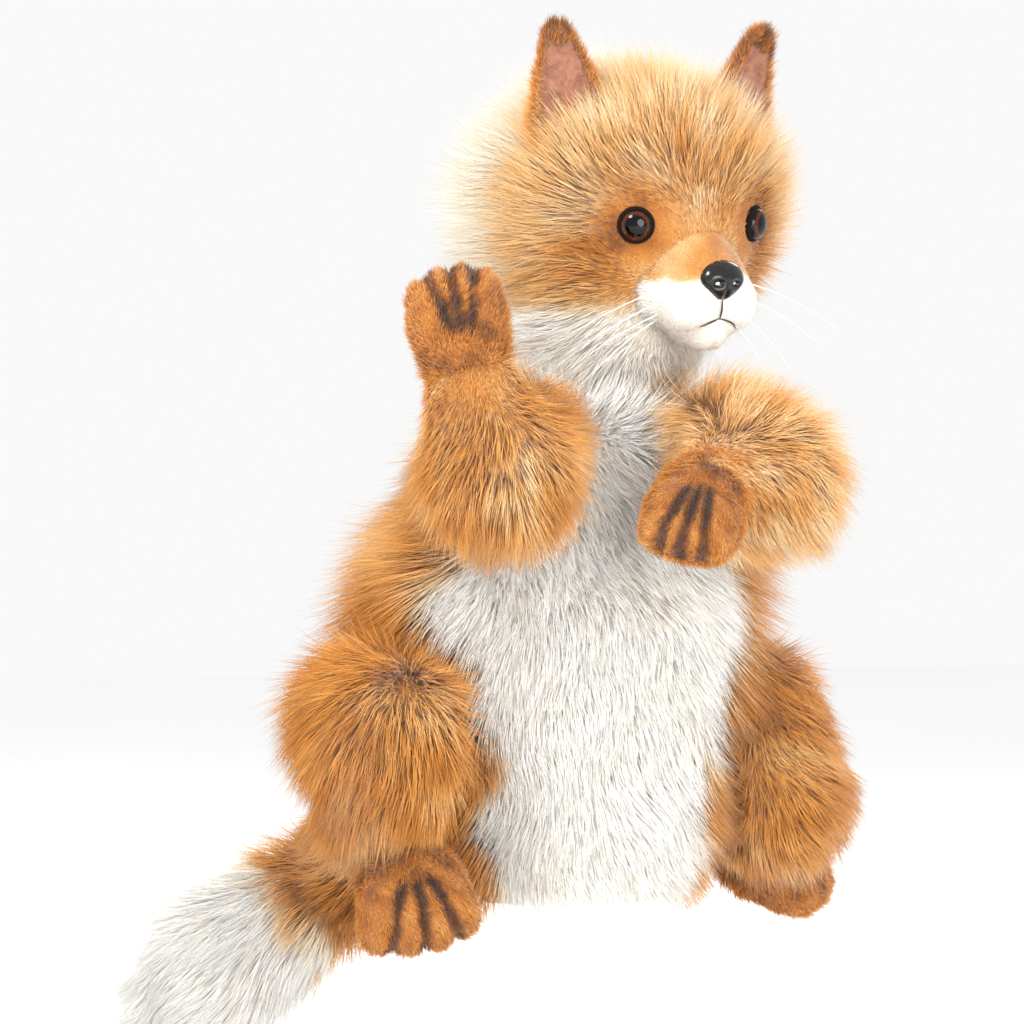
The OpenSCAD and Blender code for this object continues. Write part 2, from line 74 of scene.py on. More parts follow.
# Places along the dye range that every coat is coloured from.
UMBER, RUST, GOLD, TAN, CREAM, WHITE = 0.15, 0.30, 0.46, 0.62, 0.82, 0.97


# ---------- places ----------

def mm(*values):
    return np.array(values, float) * MM


def unit(v):
    v = np.asarray(v, float)
    return v / np.maximum(np.linalg.norm(v, axis=-1, keepdims=True), 1e-12)


JOINTS = {j["name"]: j for j in frame["joints"]}


def pivot(joint):
    return np.array(JOINTS[joint]["pos_m"], float)


def turned(x, y, z):
    """The rotation that turns about X, then Y, then Z, in degrees."""
    made = Matrix.Rotation(math.radians(z), 3, "Z") @ Matrix.Rotation(math.radians(y), 3, "Y")
    return np.array(made @ Matrix.Rotation(math.radians(x), 3, "X"))


class Place:
    """A small frame of its own: columns of turn are its X, Y and Z."""

    def __init__(self, origin, turn):
        self.origin = np.asarray(origin, float)
        self.turn = np.asarray(turn, float)

    def out(self, points):
        return self.origin + np.asarray(points, float) @ self.turn.T

    def way(self, vector):
        return np.asarray(vector, float) @ self.turn.T

    def into(self, points):
        return (np.asarray(points, float) - self.origin) @ self.turn


def limb_place(origin, way, back):
    """Z runs along the limb and -Y faces its back."""
    z = unit(way)
    x = unit(np.cross(-np.asarray(back, float), z))
    return Place(origin, np.stack([x, np.cross(z, x), z], axis=1))


NECK = pivot("head_nod")
HEAD = Place(mm(38, 0, 308), turned(6, -3, 9))
TAIL_ROOT = pivot("tail_wag")
TAIL_JOINT = pivot("tail_curl")
TAIL_WAY = unit(TAIL_JOINT - TAIL_ROOT)
TAIL_LENGTH = 204 * MM

EYE_GAZE = {side: unit([s * 31, -46.5, -4]) for side, s in SIDES.items()}
HEAD_R = 56 * MM
EYE_R = 7.2 * MM
RIM_R = 8.0 * MM

ARM = {
    "right": dict(shoulder=pivot("arm_swing_right"), elbow=mm(-60.7, -80.6, 189.6),
                  wrist=pivot("paw_bend_right"), paw=[-.2, 0, .98], back=[-.3, -.95, 0]),
    "left": dict(shoulder=pivot("arm_swing_left"), elbow=mm(59.4, -87.0, 186.6),
                 wrist=pivot("paw_bend_left"), paw=[-.5, -.55, -.6], back=[-.3, -.8, .5]),
}
LEG = {
    "right": dict(hip=pivot("leg_swing_right"), ankle=pivot("foot_bend_right"), leg=[.1, -.52, -.85],
                  knee=[0, -.97, -.2], foot=[.08, -.5, -.86], back=[-.2, -.85, .5]),
    "left": dict(hip=pivot("leg_swing_left"), ankle=pivot("foot_bend_left"), leg=[.03, .25, -.97],
                 knee=[0, -.4, -.92], foot=[.82, -.36, -.44], back=[.3, -.4, .87]),
}
for arm in ARM.values():
    arm["place"] = limb_place(arm["wrist"], arm["paw"], arm["back"])
for leg in LEG.values():
    leg["place"] = limb_place(leg["ankle"], leg["foot"], leg["back"])
    leg["knee_at"] = leg["hip"] + 44 * MM * unit(leg["knee"])


# ---------- meshes ----------

def linked(mesh, name):
    obj = bpy.data.objects.new(name, mesh)
    bpy.context.scene.collection.objects.link(obj)
    return obj


def mesh_of(name, points, faces):
    mesh = bpy.data.meshes.new(name)
    mesh.from_pydata([tuple(p) for p in points], [], [tuple(f) for f in faces])
    mesh.update()
    return mesh


def smooth(mesh):
    mesh.polygons.foreach_set("use_smooth", np.ones(len(mesh.polygons), bool))


def outward(mesh):
    bm = bmesh.new()
    bm.from_mesh(mesh)
    bmesh.ops.recalc_face_normals(bm, faces=bm.faces)
    bm.to_mesh(mesh)
    bm.free()


def ball(centre, radius, count=300):
    i = np.arange(count) + 0.5
    z = 1 - 2 * i / count
    ring = np.sqrt(1 - z * z)
    turn = i * GOLDEN_ANGLE
    return np.asarray(centre) + radius * np.stack([ring * np.cos(turn), ring * np.sin(turn), z], axis=1)


def disc(radius, height, count=72):
    turn = np.arange(count) * 2 * math.pi / count
    return np.stack([radius * np.cos(turn), radius * np.sin(turn), np.full(count, height)], axis=1)


def hulls(name, clouds):
    """One mesh with the convex hull of each cloud of points."""
    bm = bmesh.new()
    for cloud in clouds:
        verts = [bm.verts.new(p) for p in cloud]
        made = bmesh.ops.convex_hull(bm, input=verts)
        spare = {v for v in made["geom_interior"] + made["geom_unused"] if isinstance(v, bmesh.types.BMVert)}
        bmesh.ops.delete(bm, geom=list(spare), context="VERTS")
    mesh = bpy.data.meshes.new(name)
    bm.to_mesh(mesh)
    bm.free()
    return mesh


def baked_down(obj):
    """The object's mesh with its modifiers in it."""
    seen = obj.evaluated_get(bpy.context.evaluated_depsgraph_get())
    mesh = bpy.data.meshes.new_from_object(seen)
    mesh.name = obj.name
    obj.modifiers.clear()
    old = obj.data
    obj.data = mesh
    bpy.data.meshes.remove(old)
    return obj


def melted(obj, voxel, rounds, swell=0.0):
    """The object's parts run into one even surface, eased, and grown by swell millimetres."""
    melt = obj.modifiers.new("melt", "REMESH")
    melt.mode = "VOXEL"
    melt.voxel_size = voxel * MM
    ease = obj.modifiers.new("ease", "SMOOTH")
    ease.factor = 0.5
    ease.iterations = rounds
    if swell:
        grown = obj.modifiers.new("swell", "DISPLACE")
        grown.mid_level = 0
        grown.strength = swell * MM
    baked_down(obj)
    smooth(obj.data)
    return obj


def skin(name, clouds, voxel, rounds):
    """A closed sewn skin over the hulls of the clouds."""
    return melted(linked(hulls(name, clouds), name), voxel, rounds)


def pads_skin(name, place, pads, voxel, rounds):
    """A skin over groups of balls, each (x, y, z, radius) in the place's millimetres."""
    clouds = []
    for pad in pads:
        clouds.append(np.concatenate([ball(place.out(mm(x, y, z)), r * MM) for x, y, z, r in pad]))
    return skin(name, clouds, voxel, rounds)


def stuffed(obj, held, swell=0.07, frames=14):
    """Cloth simulation: a cut that is a little wide is pressed out by its filling, except where held."""
    group = obj.vertex_groups.new(name="held")
    group.add([int(i) for i in np.nonzero(held(points_of(obj.data)))[0]], 1.0, "REPLACE")
    cloth = obj.modifiers.new("cloth", "CLOTH")
    cloth.collision_settings.use_collision = False
    cloth.point_cache.frame_start = 1
    cloth.point_cache.frame_end = frames
    values = cloth.settings
    values.vertex_group_mass = group.name
    values.quality = 5
    values.mass = 0.01
    values.tension_stiffness = values.compression_stiffness = 5
    values.shear_stiffness = 2.5
    values.bending_stiffness = 0.05
    values.air_damping = 2
    values.shrink_min = -swell
    values.use_pressure = True
    values.uniform_pressure_force = 6000
    values.effector_weights.gravity = 0
    for frame_number in range(1, frames + 1):
        bpy.context.scene.frame_set(frame_number)
    baked_down(obj)
    bpy.context.scene.frame_set(1)
    smooth(obj.data)
    return obj


def points_of(mesh):
    flat = np.empty(len(mesh.vertices) * 3)
    mesh.vertices.foreach_get("co", flat)
    return flat.reshape(-1, 3)


def normals_of(mesh):
    flat = np.empty(len(mesh.vertices) * 3)
    mesh.vertex_normals.foreach_get("vector", flat)
    return flat.reshape(-1, 3)


def hoop(a, b, turns):
    """Quads between the rings that start at vertices a and b."""
    return [(a + k, a + (k + 1) % turns, b + (k + 1) % turns, b + k) for k in range(turns)]


def fan(hub, a, turns):
    """Triangles between a vertex and the ring that starts at vertex a."""
    return [(hub, a + k, a + (k + 1) % turns) for k in range(turns)]


def solid(name, verts, faces):
    """A closed smooth object whose faces all look outward."""
    obj = linked(mesh_of(name, verts, faces), name)
    outward(obj.data)
    smooth(obj.data)
    return obj


def from_pole_to_pole(rings, turns):
    """Faces of a pole, some rings and a pole, in that order of vertices."""
    last = 1 + turns * rings
    faces = fan(0, 1, turns) + fan(last, last - turns, turns)
    for row in range(rings - 1):
        faces += hoop(1 + row * turns, 1 + (row + 1) * turns, turns)
    return faces


def lathe(name, place, profile, turns=56):
    """A closed body of revolution about the place's Z; profile is (radius, height) from pole to pole."""
    rows = [place.out([[0, 0, profile[0][1]]])]
    for r, h in profile[1:-1]:
        rows.append(place.out(disc(r, h, turns)))
    rows.append(place.out([[0, 0, profile[-1][1]]]))
    return solid(name, np.concatenate(rows), from_pole_to_pole(len(profile) - 2, turns))


def tube_mesh(name, lines, sides=8):
    """Closed round tubes along lines of (points, radii); each ends in a point."""
    verts = []
    faces = []
    turn = np.arange(sides) * 2 * math.pi / sides
    for line, radii in lines:
        line = np.asarray(line, float)
        along = unit(np.gradient(line, axis=0))
        side = unit(np.cross(along, [0.31, 0.22, 0.92]))
        up = np.cross(side, along)
        base = len(verts)
        for p, u, v, r in zip(line, side, up, radii):
            verts.extend(p + r * (np.outer(np.cos(turn), u) + np.outer(np.sin(turn), v)))
        last = base + (len(line) - 1) * sides
        for ring in range(base, last, sides):
            faces += hoop(ring, ring + sides, sides)
        for end, ring in ((0, base), (-1, last)):
            verts.append(line[end])
            faces += fan(len(verts) - 1, ring, sides)
    return solid(name, verts, faces)


# ---------- noise ----------

def waves(points, scale, seed, count=9):
    """Soft random field from about -1 to 1; scale is its grain in millimetres."""
    rng = np.random.default_rng(seed)
    ways = unit(rng.normal(size=(count, 3))) * 2 * math.pi / (scale * MM)
    ways *= rng.uniform(0.5, 1.5, (count, 1))
    phase = rng.uniform(0, 2 * math.pi, count)
    return np.sin(points @ ways.T + phase).sum(axis=1) / math.sqrt(count * 0.5) * 0.7


def step(x, low, high):
    t = np.clip((x - low) / (high - low), 0, 1)
    return t * t * (3 - 2 * t)


def mix(a, b, t):
    return a + (b - a) * t


# ---------- materials ----------

# Strand colours at the root: the dye darkened by painted shade, as deep in the pile.
SHADED_ROOT_DYE = [
    (0.00, (0.018, 0.006, 0.002)), (0.15, (0.085, 0.026, 0.005)), (0.30, (0.250, 0.078, 0.009)),
    (0.46, (0.330, 0.130, 0.022)), (0.62, (0.420, 0.215, 0.075)), (0.82, (0.760, 0.640, 0.460)),
    (0.97, (0.900, 0.884, 0.850)),
]
TIP_DYE = [
    (0.00, (0.050, 0.018, 0.006)), (0.15, (0.200, 0.066, 0.010)), (0.30, (0.570, 0.198, 0.020)),
    (0.46, (0.750, 0.352, 0.080)), (0.62, (0.860, 0.570, 0.270)), (0.82, (0.930, 0.850, 0.690)),
    (0.97, (0.950, 0.938, 0.914)),
]


def ramp(tree, stops, source):
    node = tree.nodes.new("ShaderNodeValToRGB")
    elements = node.color_ramp.elements
    while len(elements) < len(stops):
        elements.new(0.5)
    for element, (at, colour) in zip(elements, stops):
        element.position = at
        element.color = (*colour, 1)
    tree.links.new(source, node.inputs["Fac"])
    return node.outputs["Color"]


def blended(tree, a, b, factor, mode="MIX"):
    node = tree.nodes.new("ShaderNodeMix")
    node.data_type = "RGBA"
    node.blend_type = mode
    for value, socket in ((factor, node.inputs[0]), (a, node.inputs[6]), (b, node.inputs[7])):
        if isinstance(value, bpy.types.NodeSocket):
            tree.links.new(value, socket)
        else:
            socket.default_value = value
    return node.outputs[2]


def noise(tree, scale, detail=3.0, rough=0.6, stretch=(1, 1, 1)):
    where = tree.nodes.new("ShaderNodeTexCoord")
    sized = tree.nodes.new("ShaderNodeMapping")
    sized.inputs["Scale"].default_value = stretch
    made = tree.nodes.new("ShaderNodeTexNoise")
    made.inputs["Scale"].default_value = scale
    made.inputs["Detail"].default_value = detail
    made.inputs["Roughness"].default_value = rough
    tree.links.new(where.outputs["Object"], sized.inputs["Vector"])
    tree.links.new(sized.outputs["Vector"], made.inputs["Vector"])
    return made.outputs["Fac"]


def bumped(tree, shader, height, strength, distance):
    node = tree.nodes.new("ShaderNodeBump")
    node.inputs["Strength"].default_value = strength
    node.inputs["Distance"].default_value = distance
    tree.links.new(height, node.inputs["Height"])
    tree.links.new(node.outputs["Normal"], shader.inputs["Normal"])


def material(name, **values):
    made = bpy.data.materials.new(name)
    made.use_nodes = True
    shader = made.node_tree.nodes["Principled BSDF"]
    for socket, value in values.items():
        shader.inputs[socket.replace("_", " ")].default_value = value
    return made, made.node_tree, shader


def baked_uv(tree):
    """The UV map's node, and a node with its two parts as X and Y."""
    uv = tree.nodes.new("ShaderNodeUVMap")
    uv.uv_map = "OFBake"
    split = tree.nodes.new("ShaderNodeSeparateXYZ")
    tree.links.new(uv.outputs["UV"], split.inputs["Vector"])
    return uv, split


def fur_material():
    """Pile: dye by strand, darkened towards the root by painted shade and paler at the tip."""
    made, tree, shader = material("plush_pile", Roughness=0.62, Sheen_Weight=0.25, Sheen_Roughness=0.45,
                                  Specular_IOR_Level=0.28)
    uv, split = baked_uv(tree)
    root = ramp(tree, SHADED_ROOT_DYE, split.outputs["X"])
    tip = ramp(tree, TIP_DYE, split.outputs["X"])
    rise = ramp(tree, [(0.05, (0, 0, 0)), (0.62, (1, 1, 1))], split.outputs["Y"])
    tree.links.new(blended(tree, root, tip, rise), shader.inputs["Base Color"])
    return made


def backing_material():
    """The knit that the pile grows from, in the dye of the pile over it, painted root shade included."""
    made, tree, shader = material("plush_backing", Roughness=0.9, Sheen_Weight=0.3)
    dye = tree.nodes.new("ShaderNodeAttribute")
    dye.attribute_name = "dye"
    base = ramp(tree, SHADED_ROOT_DYE, dye.outputs["Fac"])
    lit = ramp(tree, TIP_DYE, dye.outputs["Fac"])
    grain = noise(tree, 900, 2.0)
    both = blended(tree, base, lit, 0.38)
    spots = ramp(tree, [(0.3, (0.72, 0.72, 0.72)), (0.7, (1, 1, 1))], grain)
    tree.links.new(blended(tree, both, spots, 1.0, "MULTIPLY"), shader.inputs["Base Color"])
    bumped(tree, shader, grain, 0.6, 0.0006)
    return made


def cloth_material(name, dark, light, scale=1400, rough=0.85):
    """Woven cloth: two shades and a fine cross weave."""
    made, tree, shader = material(name, Roughness=rough, Sheen_Weight=0.15)
    wide = noise(tree, scale, 1.0, 0.5, (1, 1, 0.15))
    tall = noise(tree, scale, 1.0, 0.5, (0.15, 0.15, 1))
    weave = blended(tree, wide, tall, 0.5)
    tree.links.new(ramp(tree, [(0.38, dark), (0.62, light)], weave), shader.inputs["Base Color"])
    bumped(tree, shader, weave, 0.5, 0.0004)
    return made


def nap_material(name, dark, light, scale=260, rough=0.8, sheen=0.6):
    """Velvet or suede: a short nap with brushed patches."""
    made, tree, shader = material(name, Roughness=rough, Sheen_Weight=sheen, Sheen_Roughness=0.35,
                                  Specular_IOR_Level=0.15)
    patches = noise(tree, scale, 4.0, 0.65)
    grain = noise(tree, 2600, 1.0)
    both = blended(tree, patches, grain, 0.4)
    tree.links.new(ramp(tree, [(0.35, dark), (0.66, light)], both), shader.inputs["Base Color"])
    bumped(tree, shader, grain, 0.4, 0.0003)
    return made


def gloss_material():
    made, tree, shader = material("nose_gloss", Roughness=0.16, Coat_Weight=0.25, Coat_Roughness=0.05,
                                  Specular_IOR_Level=0.30)
    pebble = noise(tree, 1100, 2.0)
    tree.links.new(ramp(tree, [(0.3, (0.004, 0.004, 0.004)), (0.7, (0.013, 0.012, 0.012))], pebble),
                   shader.inputs["Base Color"])
    bumped(tree, shader, pebble, 0.18, 0.0003)
    return made


def eye_material():
    """Glass eye: pupil, red-brown iris and dark outer ring by distance from the pole, with fine rays."""
    made, tree, shader = material("eye_glass", Roughness=0.04, Specular_IOR_Level=0.24)
    uv, split = baked_uv(tree)
    iris = [
        (0.00, (0.002, 0.002, 0.002)), (0.62, (0.002, 0.002, 0.002)), (0.68, (0.050, 0.011, 0.003)),
        (0.77, (0.110, 0.026, 0.007)), (0.85, (0.040, 0.010, 0.003)), (0.90, (0.003, 0.002, 0.002)),
    ]
    rings = ramp(tree, iris, split.outputs["Y"])
    rays = tree.nodes.new("ShaderNodeTexNoise")
    rays.noise_dimensions = "2D"
    rays.inputs["Scale"].default_value = 22
    rays.inputs["Detail"].default_value = 2
    squeeze = tree.nodes.new("ShaderNodeMapping")
    squeeze.inputs["Scale"].default_value = (4, 0.25, 1)
    tree.links.new(uv.outputs["UV"], squeeze.inputs["Vector"])
    tree.links.new(squeeze.outputs["Vector"], rays.inputs["Vector"])
    shade = ramp(tree, [(0.35, (0.45, 0.45, 0.45)), (0.65, (1, 1, 1))], rays.outputs["Fac"])
    tree.links.new(blended(tree, rings, shade, 1.0, "MULTIPLY"), shader.inputs["Base Color"])
    return made


def stock_materials():
    return {
        "fur": fur_material(),
        "backing": backing_material(),
        "gloss": gloss_material(),
        "eye": eye_material(),
        "ear": nap_material("ear_velvet", (0.170, 0.068, 0.043), (0.400, 0.195, 0.130)),
        "suede": nap_material("sole_suede", (0.330, 0.150, 0.110), (0.560, 0.310, 0.240), 420),
        "thread": cloth_material("thread_dark", (0.012, 0.005, 0.003), (0.045, 0.018, 0.010), 2600),
        "felt": nap_material("eye_felt", (0.003, 0.002, 0.002), (0.012, 0.008, 0.006), 900, 0.9, 0.04),
        "lining": cloth_material("lining_cloth", (0.310, 0.160, 0.070), (0.520, 0.300, 0.150)),
        "band": cloth_material("hem_cloth", (0.640, 0.590, 0.500), (0.800, 0.760, 0.680), 900),
        "whisker": cloth_material("whisker_filament", (0.780, 0.770, 0.750), (0.930, 0.925, 0.910),
                                  1500, 0.3),
        "plastic": nap_material("washer_plastic", (0.250, 0.240, 0.220), (0.420, 0.410, 0.390), 500, 0.45),
        "stuffing": nap_material("fibre_fill", (0.700, 0.690, 0.660), (0.880, 0.870, 0.850), 300, 0.95),
    }


def dress(obj, name):
    obj.data.materials.clear()
    obj.data.materials.append(STOCK[name])
    return obj


def dye_skin(obj, tint):
    """Stores the pile's dye on the skin's own points, for the backing."""
    layer = obj.data.attributes.new("dye", "FLOAT", "POINT")
    layer.data.foreach_set("value", tint(points_of(obj.data)).astype(np.float32))
    return dress(obj, "backing")


# ---------- pile ----------

FUR_PIECE = 19500  # strands in one piece, so that it stays under the export's face limit
LIMIT_LOW = np.array(CAD_BOX[0]) - PROUD - PROUD_SHARE * (np.array(CAD_BOX[1]) - np.array(CAD_BOX[0]))
LIMIT_HIGH = np.array(CAD_BOX[1]) + PROUD + PROUD_SHARE * (np.array(CAD_BOX[1]) - np.array(CAD_BOX[0]))


def scattered(mesh, per_mm2, rng):
    """Points spread over the surface by area, with the surface's eased normals."""
    mesh.calc_loop_triangles()
    tris = np.empty(len(mesh.loop_triangles) * 3, np.int32)
    mesh.loop_triangles.foreach_get("vertices", tris)
    tris = tris.reshape(-1, 3)
    co = points_of(mesh)
    no = normals_of(mesh)
    a, b, c = (co[tris[:, k]] for k in range(3))
    area = np.linalg.norm(np.cross(b - a, c - a), axis=1) / 2
    count = int(per_mm2 * area.sum() / MM ** 2)
    pick = rng.choice(len(area), count, p=area / area.sum())
    u, v = rng.random((2, count, 1))
    over = u + v > 1
    u, v = np.where(over, 1 - u, u), np.where(over, 1 - v, v)
    w = 1 - u - v
    where = a[pick] * w + b[pick] * u + c[pick] * v
    normal = unit(no[tris[pick, 0]] * w + no[tris[pick, 1]] * u + no[tris[pick, 2]] * v)
    return where, normal


def clumped(roots, tips, size, strength, rng):
    """Draws each tip towards the tip of the strand that leads its lock."""
    leaders = rng.permutation(len(roots))[:max(2, len(roots) // size)]
    tree = KDTree(len(leaders))
    for k, i in enumerate(leaders):
        tree.insert(roots[i], k)
    tree.balance()
    near = np.array([tree.find(p)[1] for p in roots])
    lead = leaders[near]
    target = tips[lead] + 0.22 * (roots - roots[lead])
    share = strength * rng.uniform(0.4, 1.0, (len(roots), 1))
    return mix(tips, target, share), near


def strand_mesh(name, roots, bends, tips, width, tint):
    """Closed three-sided tapering strands along the curves root, bend, tip."""
    rings = STRAND_RINGS
    count = len(roots)
    at = np.array(rings)[None, :, None]
    p0, p1, p2 = (p[:, None, :] for p in (roots, bends, tips))
    line = (1 - at) ** 2 * p0 + 2 * at * (1 - at) * p1 + at ** 2 * p2
    along = unit(tips - roots)
    side = unit(np.cross(along, unit(bends - roots + 1e-7 * UP) + np.array([0.013, 0.007, 0.003])))
    up = np.cross(along, side)
    taper = (1 - 0.85 * np.array(rings) ** 1.6)[None, :] * width[:, None]
    turn = np.arange(3) * 2 * math.pi / 3
    rim = (np.cos(turn)[None, :, None] * side[:, None, :] + np.sin(turn)[None, :, None] * up[:, None, :])
    body = line[:, :, None, :] + taper[:, :, None, None] * rim[:, None, :, :]
    k = len(rings)
    verts = np.concatenate([body.reshape(count, 3 * k, 3), tips[:, None, :]], axis=1)
    verts = np.clip(verts, LIMIT_LOW, LIMIT_HIGH)
    each = 3 * k + 1
    quads = []
    quad_uv = []
    for r in range(k - 1):
        for s in range(3):
            n = (s + 1) % 3
            quads.append((3 * r + s, 3 * r + n, 3 * r + 3 + n, 3 * r + 3 + s))
            quad_uv.append(((s, rings[r]), (n, rings[r]), (n, rings[r + 1]), (s, rings[r + 1])))
    tris = [(0, 2, 1)]
    tri_uv = [((0, 0.0), (2, 0.01), (1, 0.0))]
    for s in range(3):
        n = (s + 1) % 3
        tris.append((3 * k - 3 + s, 3 * k - 3 + n, 3 * k))
        tri_uv.append(((s, rings[-1]), (n, rings[-1]), (1, 1.0)))
    corners = np.array([i for f in quads + tris for i in f])
    sizes = np.array([4] * len(quads) + [3] * len(tris))
    uv = np.array([c for f in quad_uv + tri_uv for c in f], float)
    loops = (corners[None, :] + each * np.arange(count)[:, None]).ravel()
    starts = np.concatenate([[0], np.cumsum(np.tile(sizes, count))[:-1]])
    mesh = bpy.data.meshes.new(name)
    mesh.vertices.add(count * each)
    mesh.vertices.foreach_set("co", verts.astype(np.float32).ravel())
    mesh.loops.add(len(loops))
    mesh.loops.foreach_set("vertex_index", loops.astype(np.int32))
    mesh.polygons.add(len(starts))
    mesh.polygons.foreach_set("loop_start", starts.astype(np.int32))
    mesh.update(calc_edges=True)
    layer = mesh.uv_layers.new(name="OFBake")
    spots = np.empty((count, len(uv), 2), np.float32)
    spots[:, :, 0] = np.clip(tint, 0.01, 0.98)[:, None] + 0.004 * uv[None, :, 0]
    spots[:, :, 1] = 0.004 + 0.99 * uv[None, :, 1]
    layer.data.foreach_set("uv", spots.ravel())
    smooth(mesh)
    return mesh


STRAND_RINGS = (0.0, 0.52)
GUARD_SHARE = 0.16  # strands that are longer and paler than the rest
GUARD_PALER = 0.045  # along the dye range
TINT_SPREAD = 0.022  # along the dye range, by lock and by strand
ROOT_DEPTH = 0.8 * MM  # under the skin
PATCH_LIFT = 9  # degrees that brushed patches add or take
STRAND_LIFT = 6  # degrees, by strand
PLAIN_COAT = dict(lift=40, keep=None, per_mm2=0.5, width=0.20, droop=0.12, size=9, strength=0.34,
                  stray=0.30)


def coat_of(length, flow, tint, **changes):
    """How one skin's pile grows. length, flow, tint, keep and a lift that varies are functions of the roots.

    lift is in degrees from the skin, length and width in millimetres and size in strands a lock; strength,
    droop and stray are the shares that its lock, its weight and chance have in a strand's way.
    """
    return SimpleNamespace(length=length, flow=flow, tint=tint, **{**PLAIN_COAT, **changes})


def grow(name, obj, body, coat, seed):
    """The pile of one skin, in pieces that ride on the skin's body."""
    rng = np.random.default_rng(seed)
    density = coat.per_mm2 * 1.0
    roots, normals = scattered(obj.data, density, rng)
    if coat.keep is not None:
        chosen = rng.random(len(roots)) < coat.keep(roots)
        roots, normals = roots[chosen], normals[chosen]
    count = len(roots)
    guard = rng.random(count) < GUARD_SHARE
    guard_share = rng.uniform(1.0, 1.22, count)
    under_share = rng.uniform(0.6, 1.0, count)
    length = coat.length(roots) * MM * np.where(guard, guard_share, under_share)
    flow = coat.flow(roots, normals)
    flow = flow - (flow * normals).sum(axis=1, keepdims=True) * normals
    swirl = np.stack([waves(roots, 38, seed + k) for k in (101, 102, 103)], axis=1)
    flow = unit(unit(flow) + 0.35 * (swirl - (swirl * normals).sum(axis=1, keepdims=True) * normals))
    lift = coat.lift(roots) if callable(coat.lift) else np.full(count, float(coat.lift))
    lift = lift + PATCH_LIFT * waves(roots, 24, seed + 7) + rng.normal(0, STRAND_LIFT, count)
    lift = np.radians(lift)[:, None]
    wild = unit(rng.normal(size=(count, 3)))
    way = unit(np.cos(lift) * flow + np.sin(lift) * normals + coat.stray * wild)
    way = unit(way - coat.droop * UP)
    reach = length[:, None]
    start = roots - ROOT_DEPTH * normals
    bends = start + reach * 0.42 * unit(0.75 * normals + 0.55 * flow + 0.10 * wild)
    tips = start + reach * (0.30 * unit(0.8 * normals + 0.5 * flow) + 0.72 * way)
    tips, near = clumped(roots, tips, coat.size, coat.strength, rng)
    lock = rng.normal(0, 1, near.max() + 1)[near]
    tint = coat.tint(roots) + TINT_SPREAD * lock + GUARD_PALER * guard + rng.normal(0, TINT_SPREAD, count)
    width = coat.width * MM * rng.uniform(0.7, 1.2, count)
    pieces = math.ceil(count / FUR_PIECE)
    order = np.argsort(waves(roots, 400, seed + 9), kind="stable")
    for k, part in enumerate(np.array_split(order, pieces)):
        label = f"{name}_{k + 1}" if pieces > 1 else name
        mesh = strand_mesh(label, start[part], bends[part], tips[part], width[part], tint[part])
        piece = dress(linked(mesh, label), "fur")
        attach(piece, body)


def shown(obj, body, slot, *nodes, pad=None):
    """Puts a finished piece on its body and in place of its CAD nodes; the slot is not used."""
    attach(obj, body)
    if nodes:
        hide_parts(*nodes)


STOCK = stock_materials()


def skin_tree(obj):
    return BVHTree.FromPolygons(points_of(obj.data).tolist(), [tuple(f.vertices) for f in obj.data.polygons])


def in_the_open(tree, points, depth=8 * MM):
    """0 for points that lie deeper than depth under a closed skin, 1 for the rest."""
    open_ones = np.ones(len(points))
    for i, p in enumerate(points):
        near, normal, _, _ = tree.find_nearest(Vector(p))
        open_ones[i] = (Vector(p) - near).dot(normal) > -depth
    return open_ones


# ---------- torso ----------

HEM_R = 53.8
OPENING_R = 48.6


def belly_share(p):
    """1 on the white belly and bib, 0 on the rust sides and back."""
    angle = np.degrees(np.abs(np.arctan2(p[:, 0] - 4 * MM, -(p[:, 1] - 8 * MM))))
    wide = np.exp(-((p[:, 2] - 138 * MM) / (46 * MM)) ** 2)
    edge = 49 + 14 * wide + 6 * waves(p, 34, 5)
    return 1 - step(angle, edge - 5, edge + 5)


def torso_tint(p):
    rust = RUST + 0.05 + 0.07 * waves(p, 40, 11) + 0.10 * step(p[:, 2], 120 * MM, 215 * MM)
    white = WHITE - 0.03 + 0.02 * waves(p, 30, 12)
    return mix(rust, white, belly_share(p))


def torso_length(p):
    flank = step(p[:, 2], 62 * MM, 105 * MM) * (1 - step(p[:, 2], 165 * MM, 195 * MM))
    long = mix(32 + 10 * flank, 22, belly_share(p)) + 2.5 * waves(p, 40, 14)
    long = long + 4 * step(p[:, 2], 165 * MM, 205 * MM)
    hem = step(p[:, 2], 0, 40 * MM)
    return mix(17.0, long, hem)


def torso_lift(p):
    side = mix(50, 36, belly_share(p))
    return mix(side, 66, step(p[:, 2], 195 * MM, 214 * MM))


def torso_keep(p):
    """No pile on the foot's flat, where the opening is cut."""
    side = np.hypot(p[:, 0], p[:, 1]) > (OPENING_R + 0.6) * MM
    return step(p[:, 2], 2 * MM, 6 * MM) * np.maximum(side, p[:, 2] > 12 * MM)


def torso_flow(p, n):
    away = p * [1, 1, 0]
    return -UP + 0.35 * unit(away)


def make_torso():
    belly = [ball(mm(s * 16, 8, 122), 61 * MM) for s in (-1, 1)]
    chest = [ball(mm(12 + s * 16, 4, 178), 43 * MM) for s in (-1, 1)]
    hem = [disc(HEM_R * MM, h * MM) for h in (3, 16)]
    obj = skin("torso_skin", [np.concatenate(belly + chest + hem)], 3.2, 4)
    dye_skin(obj, torso_tint)
    coat = coat_of(torso_length, torso_flow, torso_tint, lift=torso_lift, size=10, strength=0.24, stray=0.26,
                   keep=torso_keep, per_mm2=0.76, width=0.18)
    grow("torso_pile", obj, "torso", coat, 1)
    tree = skin_tree(obj)
    shown(opened(obj), "torso", "rust_plush", "back_shell", "belly_panel", pad=0.5)
    return tree


